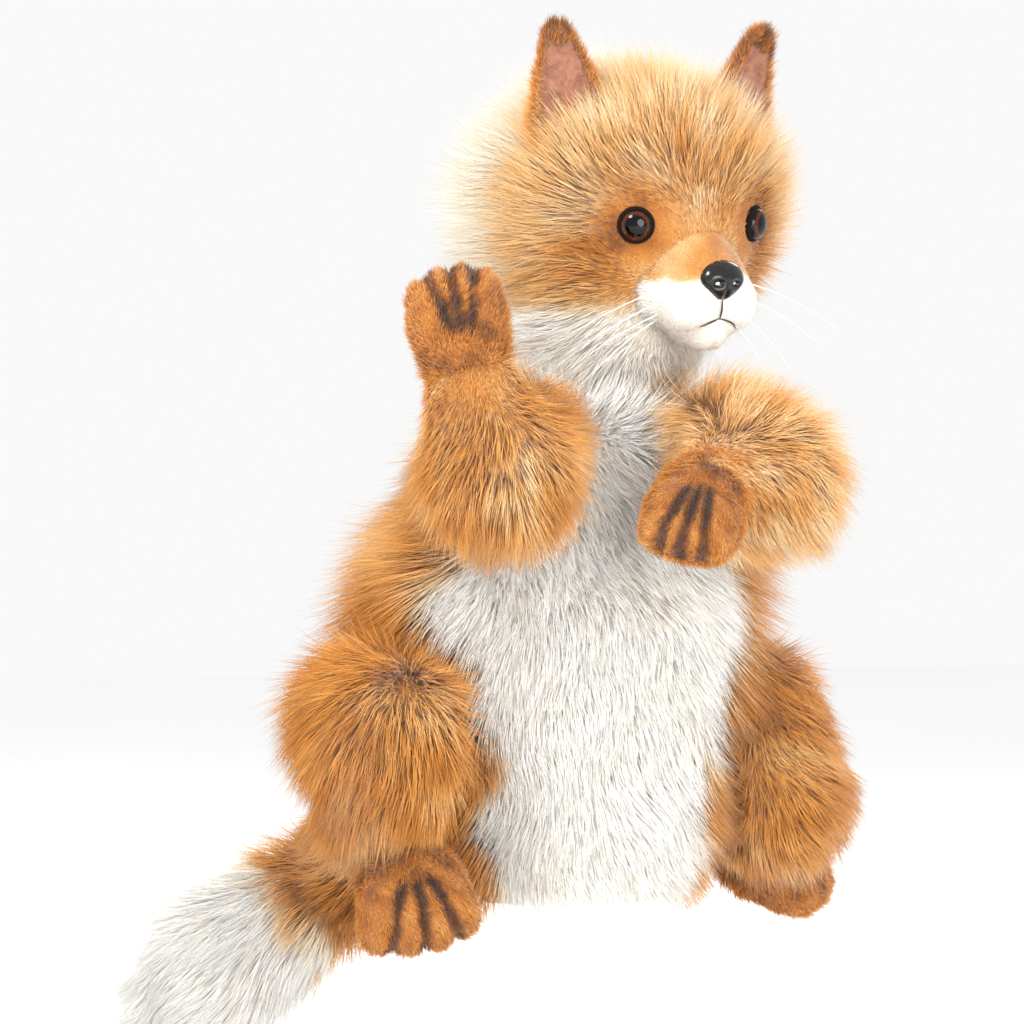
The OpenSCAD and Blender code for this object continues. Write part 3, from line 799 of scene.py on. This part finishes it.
def opened(obj):
    """Cuts the hand's opening in the torso's foot and gives the skin its thickness."""
    bm = bmesh.new()
    bm.from_mesh(obj.data)
    gone = [v for v in bm.verts if v.co.z < 12 * MM and math.hypot(v.co.x, v.co.y) < OPENING_R * MM]
    bmesh.ops.delete(bm, geom=gone, context="VERTS")
    for v in bm.verts:
        if v.is_boundary:
            share = OPENING_R * MM / math.hypot(v.co.x, v.co.y)
            v.co.x *= share
            v.co.y *= share
    bm.to_mesh(obj.data)
    bm.free()
    wall = obj.modifiers.new("wall", "SOLIDIFY")
    wall.thickness = 2 * MM
    wall.offset = -1
    return baked_down(obj)


# ---------- head ----------

MUZZLE_CENTRE = mm(0, -52, -30)


def ruff_share(q):
    return step(q[:, 1] + 3 * MM * waves(q, 26, 21), 4 * MM, 16 * MM)


def head_tint(p):
    q = HEAD.into(p)
    face = GOLD + 0.05 + 0.05 * waves(p, 22, 22) + 0.035 * waves(p, 7, 25)
    out = np.linalg.norm((q - MUZZLE_CENTRE) * [1, 0, 1], axis=1)
    face = face + 0.08 * step(out, 45 * MM, 75 * MM)
    for side, s in SIDES.items():
        eye = HEAD_R * EYE_GAZE[side]
        d = np.linalg.norm(q - eye, axis=1)
        face = face - 0.22 * (1 - step(d, 9 * MM, 20 * MM))
        smudge = np.linalg.norm((q - eye - mm(s * 10, 8, -20)) * [1, 1, 0.6], axis=1)
        face = face - 0.14 * (1 - step(smudge, 4 * MM, 20 * MM))
    cheek = step(-q[:, 2], 20 * MM, 46 * MM) * step(np.abs(q[:, 0]), 16 * MM, 34 * MM)
    face = mix(face, TAN + 0.05, 0.55 * cheek)
    below = step(-q[:, 2], 34 * MM, 46 * MM)
    face = mix(face, CREAM + 0.08, below)
    ruff = CREAM + 0.03 * waves(p, 30, 23)
    crown = step(q[:, 2], 20 * MM, 50 * MM)
    ruff = mix(ruff, TAN + 0.06, 0.6 * crown)
    return mix(face, ruff, ruff_share(q))


def head_length(p):
    q = HEAD.into(p)
    out = np.linalg.norm(q - MUZZLE_CENTRE, axis=1)
    long = mix(6.0, 31, step(out, 22 * MM, 74 * MM))
    long = long + 6.0 * ruff_share(q)
    long = long - 6.0 * step(q[:, 2], 20 * MM, 45 * MM)
    for side in SIDES:
        d = np.linalg.norm(q - HEAD_R * EYE_GAZE[side], axis=1)
        long = long * mix(0.34, 1.0, step(d, 9 * MM, 25 * MM))
    return long


def head_lift(p):
    out = np.linalg.norm(HEAD.into(p) - MUZZLE_CENTRE, axis=1)
    return mix(20, 54, step(out, 28 * MM, 62 * MM))


def head_flow(p, n):
    q = HEAD.into(p)
    out = HEAD.way(unit((q - MUZZLE_CENTRE) * [1, 0.7, 1]))
    back = HEAD.way(np.array([[0, 0.9, -0.35]]))
    return unit(out) + ruff_share(q)[:, None] * back


def head_keep(p):
    q = HEAD.into(p)
    keep = np.ones(len(p))
    for side in SIDES:
        d = np.linalg.norm(q - HEAD_R * EYE_GAZE[side], axis=1)
        keep *= step(d, 7.4 * MM, 8.2 * MM)
    return keep


def make_head():
    skull = [ball(HEAD.out(mm(0, back, drop)), HEAD_R) for back, drop in ((0, 0), (26, -2))]
    obj = skin("head_skin", [np.concatenate([*skull, ball(NECK, 30 * MM)])], 3.0, 4)
    dye_skin(obj, head_tint)
    coat = coat_of(head_length, head_flow, head_tint, lift=head_lift, keep=head_keep, per_mm2=0.90,
                   width=0.18, droop=0.03, size=8)
    grow("head_pile", obj, "head", coat, 2)
    return obj


MUZZLE_PADS = [
    [(-8, -40, -33, 17), (8, -40, -33, 17), (0, -44, -17, 14.5), (0, -63, -27, 9.5)],
    [(-8, -40, -34, 15), (-8.5, -58, -38.5, 12.2)],
    [(8, -40, -34, 15), (8.5, -58, -38.5, 12.2)],
    [(0, -42, -43, 12), (0, -56, -49.5, 9)],
]


def muzzle_tint(p):
    q = HEAD.into(p)
    bridge = step(q[:, 2] + 0.10 * (q[:, 1] + 50 * MM) + 1.5 * MM * waves(p, 12, 31), -31 * MM, -25 * MM)
    gold = GOLD + 0.09 + 0.04 * waves(p, 10, 32)
    nose = np.linalg.norm(q - mm(0, -66, -21), axis=1)
    gold = gold - 0.16 * (1 - step(nose, 9 * MM, 17 * MM))
    brow = np.linalg.norm((q - mm(0, -50, -2)) * [0.8, 1, 1], axis=1)
    gold = gold - 0.10 * (1 - step(brow, 6 * MM, 18 * MM))
    return mix(WHITE - 0.05, gold, bridge)


def muzzle_flow(p, n):
    q = HEAD.into(p)
    return HEAD.way(unit(q - mm(0, -72, -26)))


def make_muzzle():
    obj = pads_skin("muzzle_skin", HEAD, MUZZLE_PADS, 1.6, 5)

    def held(p):
        q = HEAD.into(p) / MM
        across = np.abs(q[:, 0])
        front = q[:, 1] < -50
        part = (across < 0.9) & front & (q[:, 2] < -33)
        mouth = (np.abs(q[:, 2] + 45.2 + 0.35 * across) < 0.9) & front & (across < 11)
        return part | mouth | (q[:, 1] > -42)

    stuffed(obj, held, 0.05)
    dye_skin(obj, muzzle_tint)

    def length(p):
        return mix(2.2, 6.5, step(HEAD.into(p)[:, 1], -58 * MM, -38 * MM))

    coat = coat_of(length, muzzle_flow, muzzle_tint, lift=33, per_mm2=2.6, width=0.16, droop=0.0, size=9,
                   strength=0.25, stray=0.25)
    grow("muzzle_pile", obj, "head", coat, 3)
    return obj


def make_nose():
    """Moulded nose: a rounded three-cornered pad with two nostrils and a groove."""
    wide, deep, tall = 11.0, 7.0, 9.0
    rows, turns = 30, 60
    verts = [(0, 0, 1)]
    for i in range(1, rows):
        t = math.pi * i / rows
        for k in range(turns):
            a = 2 * math.pi * k / turns
            verts.append((math.sin(t) * math.cos(a), math.sin(t) * math.sin(a), math.cos(t)))
    verts.append((0, 0, -1))
    v = np.array(verts)
    x, z, y = v[:, 0], v[:, 1], -v[:, 2]
    front = np.clip(-y, 0, 1)
    narrow = 1 - 0.30 * step(-z, 0.0, 1.0)
    px, py, pz = wide * x * narrow, deep * y, tall * z
    for s in SIDES.values():
        pit = np.exp(-(((px - s * 4.6) / 2.2) ** 2 + ((pz + 1.6) / 1.7) ** 2))
        py = py + 2.6 * pit * (front > 0)
        lip = np.exp(-(((px - s * 4.8) / 3.6) ** 2 + ((pz + 1.4) / 3.0) ** 2)) - pit
        py = py - 0.7 * np.clip(lip, 0, 1) * (front > 0)
    groove = np.exp(-(px / 0.9) ** 2) * step(-pz, -2.0, 3.0)
    py = py + 1.3 * groove * (front > 0)
    points = HEAD.out(np.stack([px, py, pz], axis=1) * MM + mm(0, -67.5, -27.5))
    obj = solid("nose_pad", points, from_pole_to_pole(rows - 1, turns))
    shown(dress(obj, "gloss"), "head", "gloss_black", "nose")


def eye_place(side):
    z = EYE_GAZE[side]
    x = unit(np.cross(UP, z))
    local = np.stack([x, np.cross(z, x), z], axis=1)
    return Place(HEAD.out(HEAD_R * z), HEAD.turn @ local)


def make_eye(side):
    place = eye_place(side)
    steps = 22
    dome = [(EYE_R * math.sin(t), EYE_R * 0.62 * math.cos(t)) for t in np.linspace(0, math.pi / 2, steps)]
    dome[0] = (0, dome[0][1])
    profile = [(r, h + 0.5 * MM) for r, h in dome] + [(EYE_R * 0.98, -1.5 * MM), (0, -1.5 * MM)]
    obj = lathe(f"eye_glass_{side}", place, profile)
    layer = obj.data.uv_layers.new(name="OFBake")
    q = place.into(points_of(obj.data))
    flat = np.linalg.norm(q[:, :2], axis=1) / EYE_R
    turn = np.arctan2(q[:, 1], q[:, 0]) / (2 * math.pi) + 0.5
    for face in obj.data.polygons:
        spread = [turn[i] for i in face.vertices]
        for corner, i in zip(face.loop_indices, face.vertices):
            u = turn[i]
            if max(spread) - min(spread) > 0.5 and u < 0.5:
                u += 1
            if flat[i] < 1e-4:
                u = sum(spread) / len(spread)
            layer.data[corner].uv = (u * 0.5 + 0.1, 0.02 + 0.96 * min(flat[i], 1))
    shown(dress(obj, "eye"), "head", "eye_glass", f"eye_{side}")
    rim = [(0, 0.9), (RIM_R / MM * 0.80, 1.5), (RIM_R / MM * 0.93, 1.3), (RIM_R / MM * 1.04, 0.2),
           (RIM_R / MM * 1.02, -1.6), (0, -1.6)]
    ring = lathe(f"eye_rim_felt_{side}", place, [(r * MM, h * MM) for r, h in rim])
    shown(dress(ring, "felt"), "head", "felt_black", f"eye_rim_{side}")


def on_skin(tree, points, way):
    """Where rays against way, started well outside, first meet a skin."""
    hits = []
    for p in points:
        hit, normal, _, _ = tree.ray_cast(Vector(p - way * 0.06), Vector(way), 0.12)
        hits.append(np.array(hit) if hit is not None else None)
    return hits


def sewn_lines(name, tree, lines, way, radius, proud=0.25, samples=18):
    """Thread laid on a skin along flat lines, each sunk a little and ended in a point."""
    made = []
    for line in lines:
        line = np.asarray(line, float)
        along = np.linspace(0, len(line) - 1, samples)
        path = np.stack([np.interp(along, np.arange(len(line)), line[:, k]) for k in range(3)], axis=1)
        hits = [h for h in on_skin(tree, path, unit(way)) if h is not None]
        if len(hits) < 4:
            continue
        hits = np.array(hits) - unit(way) * proud * MM
        radii = radius * MM * np.sin(np.linspace(0.12, math.pi - 0.12, len(hits))) ** 0.5
        made.append((hits, radii))
    return tube_mesh(name, made)


def make_mouth(muzzle):
    lines = [
        [(0, -36), (0, -41), (0, -45)],
        [(0, -44.6), (3.5, -45.6), (7, -47.2), (10, -49.4)],
        [(0, -44.6), (-3.5, -45.4), (-7, -46.6), (-10, -48.2)],
    ]
    flat = [HEAD.out(np.array([mm(x, -60, z) for x, z in line])) for line in lines]
    obj = sewn_lines("mouth_thread", skin_tree(muzzle), flat, HEAD.way([0, 1, 0]), 0.40, 1.1)
    shown(dress(obj, "thread"), "head", "thread", "mouth_stitch")


def make_whiskers(muzzle):
    tree = skin_tree(muzzle)
    rng = np.random.default_rng(8)
    lines = []
    for s in SIDES.values():
        for i in range(4):
            start = mm(s * (13 + i), -56 + 3.2 * i, -33 - 3.4 * i)
            near = tree.find_nearest(Vector(HEAD.out(start)))[0]
            start = HEAD.into(np.array(near))
            way = unit(np.array([s * 1.0, 0.10 + 0.12 * i, -0.22 - 0.16 * i]) + rng.normal(0, 0.05, 3))
            span = (58 - 5 * i) * MM
            t = np.linspace(0, 1, 16)[:, None]
            path = start + span * t * way + mm(0, 2, -9) * t ** 2
            lines.append((HEAD.out(path), 0.30 * MM * (1 - 0.85 * t[:, 0])))
    obj = tube_mesh("whisker_hairs", lines, 6)
    shown(dress(obj, "whisker"), "head", "filament", "whiskers")


def cad_copy(name, node, voxel, rounds, swell=0.0):
    """A smooth copy of a CAD node's outside."""
    mesh = frame["nodes"][node].data.copy()
    mesh.name = name
    mesh.materials.clear()
    return melted(linked(mesh, name), voxel, rounds, swell)


def make_ear(side):
    s = SIDES[side]
    ear = Place(HEAD.out(mm(s * 0.72 * 56, -8, 0.56 * 56)), HEAD.turn @ turned(10, s * 14, s * 12))
    back = cad_copy(f"ear_skin_{side}", f"ear_back_{side}", 1.1, 5)
    up_to = ear.into(points_of(back.data))[:, 2].max()

    def tint(p):
        q = ear.into(p)
        edge = step(q[:, 2], 0.25 * up_to, 1.0 * up_to)
        return mix(GOLD - 0.04, UMBER, 0.85 * edge) + 0.05 * waves(p, 9, 41)

    def length(p):
        return mix(9.5, 5.6, step(ear.into(p)[:, 2], 0, 0.5 * up_to))

    def flow(p, n):
        q = ear.into(p)
        return ear.way(unit(q * [1.0, 0.4, 0.4] + mm(0, 0, 26)))

    dye_skin(back, tint)
    coat = coat_of(length, flow, tint, lift=38, per_mm2=1.7, width=0.17, droop=0, size=8, strength=0.2,
                   stray=0.3)
    grow(f"ear_pile_{side}", back, "head", coat, 50 + s)
    shown(back, "head", "short_rust_plush", f"ear_back_{side}", pad=0.3)
    lining = cad_copy(f"ear_velvet_{side}", f"ear_lining_{side}", 0.8, 3, 0.5)

    def rim(p):
        q = ear.into(p)
        half = mix(17 * MM, 6 * MM, np.clip((q[:, 2] - 14 * MM) / (34 * MM), 0, 1))
        side_edge = step(np.abs(q[:, 0]) / half, 0.66, 0.84)
        return np.maximum(side_edge, step(q[:, 2], 42 * MM, 46 * MM))

    def rim_flow(p, n):
        q = ear.into(p)
        return ear.way(unit(q * [1.2, 0, 0.5] + mm(0, 0, 4)))

    edge = coat_of(lambda p: np.full(len(p), 7.0), rim_flow, tint, lift=30, keep=rim, per_mm2=3.2,
                   width=0.17, droop=0, size=8, strength=0.2, stray=0.25)
    grow(f"ear_rim_pile_{side}", lining, "head", edge, 55 + s)
    shown(dress(lining, "ear"), "head", "suede", f"ear_lining_{side}", pad=0.2)


# ---------- limbs ----------

def make_arm(side, torso):
    s = SIDES[side]
    arm = ARM[side]
    shoulder, elbow, wrist = arm["shoulder"], arm["elbow"], arm["wrist"]
    end = wrist - 6 * MM * unit(wrist - elbow)
    upper = np.concatenate([ball(shoulder, 18 * MM), ball(elbow, 26 * MM)])
    fore = np.concatenate([ball(elbow, 26 * MM), ball(end, 18 * MM)])
    obj = skin(f"sleeve_skin_{side}", [upper, fore], 2.6, 6)
    base = GOLD - 0.04 if side == "right" else GOLD + 0.05

    def tint(p):
        pale = step(waves(p, 20, 61 + s), 0.15, 1.0)
        dark = step(waves(p, 16, 64 + s), 0.35, 1.1)
        under = step(elbow[2] - p[:, 2], 0, 26 * MM)
        if side == "left":
            return base + 0.05 * waves(p, 22, 66) + 0.10 * pale - 0.10 * dark
        return base + 0.05 * waves(p, 22, 67) + 0.16 * pale - mix(0.10, 0.30, under) * dark

    def flow(p, n):
        lie = np.array([-0.15, -0.1, -1.0]) if side == "right" else np.array([0.55, -0.1, -0.75])
        return unit(lie) + 0.30 * unit(p - elbow)

    def length(p):
        near = np.linalg.norm(p - wrist, axis=1)
        return mix(7.0, 25.0, step(near, 14 * MM, 40 * MM)) + 1.5 * waves(p, 20, 68)

    dye_skin(obj, tint)
    coat = coat_of(length, flow, tint, lift=44, per_mm2=0.85, width=0.19, droop=0.12,
                   keep=lambda p: in_the_open(torso, p))
    grow(f"sleeve_pile_{side}", obj, f"arm_{side}", coat, 60 + s)
    shown(obj, f"arm_{side}", "rust_plush", f"sleeve_{side}", f"shoulder_gusset_{side}", pad=0.6)


PAW = [[(0, 0, 0, 14.5), (-5, 0, 21.5, 14.5), (5, 0, 21.5, 14.5)],
       [(-5, 0, 22, 13.5), (-10.5, -1, 32, 8.0)], [(-3, 0, 22, 13), (-3.6, -1.5, 35, 8.2)],
       [(3, 0, 22, 13), (3.6, -1.5, 35, 8.2)], [(5, 0, 22, 13.5), (10.5, -1, 32, 8.0)]]
FOOT = [[(0, 0, 0, 15.5), (-7, 0, 20, 15.5), (7, 0, 20, 15.5)],
        [(-8, 0, 19, 14), (-16, 1, 28, 9.0)], [(-3, 0, 20, 14.5), (-5.6, 0, 31, 9.4)],
        [(3, 0, 20, 14.5), (5.6, 0, 31, 9.4)], [(8, 0, 19, 14), (16, 1, 28, 9.0)]]
PAW_CREASES = [-7.4, 0.0, 7.4]
FOOT_CREASES = [-10.8, 0.0, 10.8]


def make_extremity(kind, side, place, pads, body, creases, reach, seed):
    obj = pads_skin(f"{kind}_skin_{side}", place, pads, 1.6, 5)
    sole = kind == "foot"

    def creased(q):
        """Millimetres from the nearest crease."""
        return np.min([np.abs(q[:, 0] - x * q[:, 2] / reach) for x in creases], axis=0) / MM

    def under(q):
        return sole * (q[:, 1] > 4 * MM) * (np.hypot(q[:, 0], q[:, 2] - SOLE_AT) < SOLE_R)

    def held(p):
        q = place.into(p)
        seam = (creased(q) < 0.9) & (q[:, 2] > 0.42 * reach * MM) & (q[:, 1] < 6 * MM)
        return seam | (q[:, 2] < 2 * MM) | (under(q) > 0)

    stuffed(obj, held)

    def tint(p):
        q = place.into(p)
        base = RUST - 0.02 + 0.06 * waves(p, 10, seed)
        toe = step(q[:, 2], 0.45 * reach * MM, 0.62 * reach * MM) * (q[:, 1] < 4 * MM)
        base = base + 0.08 * step(q[:, 2], 0.7 * reach * MM, 1.1 * reach * MM)
        # Painted shade: the fur along the toe creases on the top is darkened.
        return base - 0.24 * (1 - step(creased(q), 1.0, 3.8)) * toe

    def flow(p, n):
        q = place.into(p)
        return place.way(unit(q * [0.6, 0.6, 0] + mm(0, 0, 18)))

    def length(p):
        q = place.into(p)
        return mix(8.5, 5.2, step(q[:, 2], -2 * MM, 16 * MM))

    dye_skin(obj, tint)
    coat = coat_of(length, flow, tint, lift=38, per_mm2=1.5, width=0.18, droop=0.05, size=9, strength=0.35,
                   stray=0.28, keep=lambda p: 1.0 - under(place.into(p)))
    grow(f"{kind}_pile_{side}", obj, body, coat, seed)
    shown(obj, body, "short_rust_plush", f"{kind}_{side}", f"{kind}_stuffing_{side}", pad=0.8)
    lines = []
    for x in creases:
        flat = [(0.55 * x, 0.46 * reach), (0.8 * x, 0.74 * reach), (x, reach), (x * 1.02, 1.12 * reach)]
        lines.append(place.out(np.array([mm(a, 0, b) for a, b in flat])))
    thread = sewn_lines(f"{kind}_thread_{side}", skin_tree(obj), lines, place.way([0, 1, 0]), 0.55, 0.5)
    shown(dress(thread, "thread"), body, "thread", f"{kind}_seams_{side}")
    if sole:
        make_sole(side, obj, place, body)


SOLE_AT = 22 * MM
SOLE_R = 14 * MM


def make_sole(side, foot, place, body):
    """The suede patch, cut from the foot's own skin so that it lies on it."""
    q = place.into(points_of(foot.data))
    off = (np.hypot(q[:, 0], q[:, 2] - SOLE_AT) > SOLE_R) | (q[:, 1] < 2 * MM)
    bm = bmesh.new()
    bm.from_mesh(foot.data)
    bmesh.ops.delete(bm, geom=[v for v, gone in zip(bm.verts, off) if gone], context="VERTS")
    for v in bm.verts:
        if v.is_boundary:
            at = place.into(v.co)
            share = SOLE_R / math.hypot(at[0], at[2] - SOLE_AT)
            v.co = place.out([at[0] * share, at[1], SOLE_AT + (at[2] - SOLE_AT) * share])
    mesh = bpy.data.meshes.new(f"sole_suede_{side}")
    bm.to_mesh(mesh)
    bm.free()
    obj = linked(mesh, mesh.name)
    thick = obj.modifiers.new("thick", "SOLIDIFY")
    thick.thickness = 1.4 * MM
    thick.offset = 0.2
    baked_down(obj)
    shown(dress(obj, "suede"), body, "suede", f"sole_patch_{side}")


def make_leg(side):
    s = SIDES[side]
    leg = LEG[side]
    hip, knee, ankle = leg["hip"], leg["knee_at"], leg["ankle"]
    shin = ankle - 16 * MM * unit(leg["leg"])
    inner = hip[0] - s * 21.5 * MM
    knee_top = knee + 28.5 * MM * unit([0, -0.75, 0.75])
    upper = np.concatenate([ball(hip, 21.5 * MM), ball(knee, 28.5 * MM)])
    lower = np.concatenate([ball(knee, 28.5 * MM), ball(shin, 21.5 * MM)])
    clouds = []
    for cloud in (upper, lower):
        cloud[:, 0] = np.maximum(cloud[:, 0], inner) if s > 0 else np.minimum(cloud[:, 0], inner)
        clouds.append(cloud)
    obj = skin(f"thigh_skin_{side}", clouds, 2.8, 5)

    def tint(p):
        dark = step(waves(p, 24, 79 + s), 0.3, 1.2)
        low = step(knee[2] - p[:, 2], 0, 30 * MM)
        pale = low * step(waves(p, 20, 73 + s), -0.2, 0.8)
        # Painted light: the front of the knee is made paler so that the pile seen end-on there looks less
        # dark.
        knee_painted_light = 1 - step(np.linalg.norm(p - knee_top, axis=1), 6 * MM, 26 * MM)
        return RUST + 0.05 + 0.05 * waves(p, 24, 75 + s) - 0.10 * dark + 0.16 * pale + 0.13 * knee_painted_light

    def flow(p, n):
        return unit(np.array([0.45 * s, -0.1, -1.0])) + 0.15 * unit(p - mix(hip, knee, 0.6))

    def length(p):
        near = np.linalg.norm(p - ankle, axis=1)
        longest = 30.0 if side == "right" else 22.0
        long = mix(7.0, longest, step(near, 14 * MM, 40 * MM)) + 1.5 * waves(p, 24, 77)
        return mix(8.0, long, step(s * (p[:, 0] - inner), 1 * MM, 3 * MM))

    dye_skin(obj, tint)
    coat = coat_of(length, flow, tint, lift=38, per_mm2=0.85, width=0.20, droop=0.36, stray=0.34)
    grow(f"thigh_pile_{side}", obj, f"leg_{side}", coat, 70 + s)
    shown(obj, f"leg_{side}", "rust_plush", f"thigh_{side}", f"thigh_stuffing_{side}", pad=0.7)


# ---------- tail ----------

def tail_at(mm_along):
    return TAIL_ROOT + mm_along * MM * TAIL_WAY


def tail_flow(p, n):
    return np.repeat(TAIL_WAY[None, :], len(p), axis=0) + 0.25 * unit(p - TAIL_ROOT)


def tail_tint(p):
    t = (p - TAIL_ROOT) @ TAIL_WAY / TAIL_LENGTH
    share = step(t + 0.03 * waves(p, 18, 81), 0.46, 0.56)
    rust = RUST + 0.06 + 0.06 * waves(p, 22, 82)
    return mix(rust, WHITE - 0.02, share)


def make_tail(torso):
    half = np.linalg.norm(TAIL_JOINT - TAIL_ROOT) / MM
    rest = TAIL_LENGTH / MM - half
    base = [(0, 17.5), (0.45 * half, 25), (half - 26, 26.5)]
    tip = [(half + 2, 21.5), (half + 0.50 * rest, 29), (half + rest - 9, 9)]
    coats = {
        "base": ("tail_upper", base, "rust_plush", 5, 20.0),
        "tip": ("tail_lower", tip, "white_plush", 6, 28.0),
    }
    for part, (body, stops, slot, seed, longest) in coats.items():
        clouds = []
        for a, b in zip(stops, stops[1:]):
            clouds.append(np.concatenate([ball(tail_at(a[0]), a[1] * MM), ball(tail_at(b[0]), b[1] * MM)]))
        obj = skin(f"tail_{part}_skin", clouds, 2.6, 5)

        def length(p, longest=longest):
            return longest + 2 * waves(p, 30, 85)

        dye_skin(obj, tail_tint)
        coat = coat_of(length, tail_flow, tail_tint, lift=26, per_mm2=0.72, width=0.20, droop=0.12,
                       keep=lambda p: in_the_open(torso, p))
        grow(f"tail_{part}_pile", obj, body, coat, seed)
        nodes = [f"tail_{part}", f"tail_{part}_stuffing"] + (["tail_gusset"] if part == "base" else [])
        shown(obj, body, slot, *nodes, pad=0.6)


# ---------- inside and hem ----------

LINING_HIGH = 172
LINING_SHIFT = (6, 5)


def make_inside():
    """The glove's mouth: the lining's gathered funnel above the bound band."""
    turns, rows = 120, 26
    verts = []
    for i in range(rows + 1):
        t = i / rows
        z = 0.5 + LINING_HIGH * t
        swell = 7 * math.sin(math.pi * min(t * 1.15, 1)) - 2 * math.exp(-z / 10)
        gather = 34 * max(0, t - 0.72) / 0.28
        deep = 0.012 * math.sin(math.pi * min(1, t * 2 + 0.1))
        wide = 1 + 0.20 * math.sin(math.pi * min(1.0, t * 1.05))
        for k in range(turns):
            a = 2 * math.pi * k / turns
            pleat = 1 + deep * math.sin(12 * a + 0.6 * math.sin(3 * a))
            out = (46 + swell - gather) * pleat
            x, y = out * wide * math.cos(a), out * math.sin(a)
            verts.append(mm(x + LINING_SHIFT[0] * t, y + LINING_SHIFT[1] * t, z))
    inner = len(verts)
    for p in list(verts):
        up = p[2] / LINING_HIGH
        centre = np.array([LINING_SHIFT[0] * up, LINING_SHIFT[1] * up, p[2]])
        verts.append(centre + (p - centre) * 0.968)
    faces = hoop(0, inner, turns)
    for first in (0, inner):
        for row in range(rows):
            faces += hoop(first + row * turns, first + (row + 1) * turns, turns)
    top = rows * turns
    for first, height in ((0, 178), (inner, 176)):
        verts.append(mm(*LINING_SHIFT, height))
        faces += fan(len(verts) - 1, first + top, turns)
    obj = solid("lining_funnel", verts, faces)
    shown(dress(obj, "lining"), "torso", "inner_cloth", "glove_lining")


def make_hem():
    """The hem's bound band, ribbed a little by its elastic."""
    turns = 180
    wall = 5.0
    inner_r = 42.6
    outline = [(0, 0.8), (0.9, 0), (4.1, 0), (5.0, 0.9), (5.4, 8), (5.0, 15), (4.0, 15.8), (0.8, 15.8),
               (0, 15), (0, 8)]
    verts = []
    for k in range(turns):
        a = 2 * math.pi * k / turns
        rib = 0.35 * math.sin(30 * a)
        for r, h in outline:
            out = inner_r + r + rib * (r / wall)
            verts.append(mm(out * math.cos(a), out * math.sin(a), h))
    faces = []
    count = len(outline)
    for k in range(turns):
        faces += hoop(k * count, (k + 1) % turns * count, count)
    obj = solid("hem_binding", verts, faces)
    shown(dress(obj, "band"), "torso", "band_cloth", "hem_band")


# ---------- what stays from the CAD ----------

KEPT = {
    "stuffing": ["head_stuffing"],
    "lining": ["head_finger_pocket", "arm_finger_pocket_right", "arm_finger_pocket_left"],
    "plastic": ["nose_washer", "eye_washers"],
}


def dress_kept():
    for name, nodes in KEPT.items():
        for node in nodes:
            if node in frame["nodes"]:
                dress(frame["nodes"][node], name)


# ---------- camera, floor and lights ----------

VIEW_AZIMUTH = -20  # degrees
VIEW_CENTRE = (-23, 172)  # across and up, in millimetres
VIEW_WIDE = 461  # millimetres across the picture at the puppet
LENS_FAR = 1500  # millimetres
SENSOR = 36


def make_camera():
    a = math.radians(VIEW_AZIMUTH)
    right = np.array([math.cos(a), math.sin(a), 0])
    back = np.array([math.sin(a), -math.cos(a), 0])
    data = bpy.data.cameras.new("camera")
    data.sensor_width = SENSOR
    data.lens = SENSOR / 2 / (VIEW_WIDE / 2 / LENS_FAR)
    camera = bpy.data.objects.new("camera", data)
    bpy.context.scene.collection.objects.link(camera)
    camera.location = (right * VIEW_CENTRE[0] + UP * VIEW_CENTRE[1] + back * LENS_FAR) * MM
    camera.rotation_mode = "QUATERNION"
    camera.rotation_quaternion = Vector(-back).to_track_quat("-Z", "Y")
    bpy.context.scene.camera = camera
    return back, right


def make_floor(low):
    """A plain pale floor, open on every side."""
    half = 4.0
    verts = [(-half, -half, low), (half, -half, low), (half, half, low), (-half, half, low)]
    obj = linked(mesh_of("studio_floor", verts, [(0, 1, 2, 3)]), "studio_floor")
    made, tree, shader = material("floor_paper", Roughness=0.9)
    shade = ramp(tree, [(0.3, (0.95, 0.95, 0.95)), (0.7, (0.98, 0.98, 0.98))], noise(tree, 1.5))
    tree.links.new(shade, shader.inputs["Base Color"])
    obj.data.materials.append(made)


def lamp(name, where, at, size, power):
    data = bpy.data.lights.new(name, "AREA")
    data.shape = "DISK"
    data.size = size
    data.energy = power
    obj = bpy.data.objects.new(name, data)
    bpy.context.scene.collection.objects.link(obj)
    obj.location = where
    obj.rotation_mode = "QUATERNION"
    obj.rotation_quaternion = (Vector(at) - Vector(where)).to_track_quat("-Z", "Y")


def make_lights(back, right):
    aim = mm(0, 0, 190)
    lamp("key", aim + 1.1 * back - 0.75 * right + 0.95 * UP, aim, 0.5, 21)
    lamp("fill", aim + 1.3 * back + 0.45 * right + 0.10 * UP, aim, 0.8, 14)
    lamp("rim", aim - 0.9 * back + 0.5 * right + 0.9 * UP, aim, 0.7, 12)
    world = bpy.data.worlds.new("studio")
    world.use_nodes = True
    sky = world.node_tree.nodes["Background"]
    sky.inputs["Color"].default_value = (1, 1, 1, 1)
    sky.inputs["Strength"].default_value = 0.95
    bpy.context.scene.world = world


def build():
    torso = make_torso()
    head = make_head()
    shown(head, "head", "gold_plush", "face_panel", "ruff_panel", "neck_gusset", pad=0.8)
    muzzle = make_muzzle()
    shown(muzzle, "head", "short_white_plush", "muzzle_bridge", "muzzle_cheeks", "chin_patch", pad=0.8)
    make_nose()
    make_mouth(muzzle)
    make_whiskers(muzzle)
    for side in SIDES:
        make_eye(side)
        make_ear(side)
        make_arm(side, torso)
        arm, leg = ARM[side], LEG[side]
        seed = 90 + 3 * SIDES[side]
        make_extremity("paw", side, arm["place"], PAW, f"hand_{side}", PAW_CREASES, 33, seed)
        make_leg(side)
        make_extremity("foot", side, leg["place"], FOOT, f"ankle_{side}", FOOT_CREASES, 29, seed + 1)
    make_tail(torso)
    make_inside()
    make_hem()
    dress_kept()


build()
back, right = make_camera()
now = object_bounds()
make_floor(now[0].z - 0.012)
make_lights(back, right)
bpy.context.scene.view_settings.view_transform = "Standard"
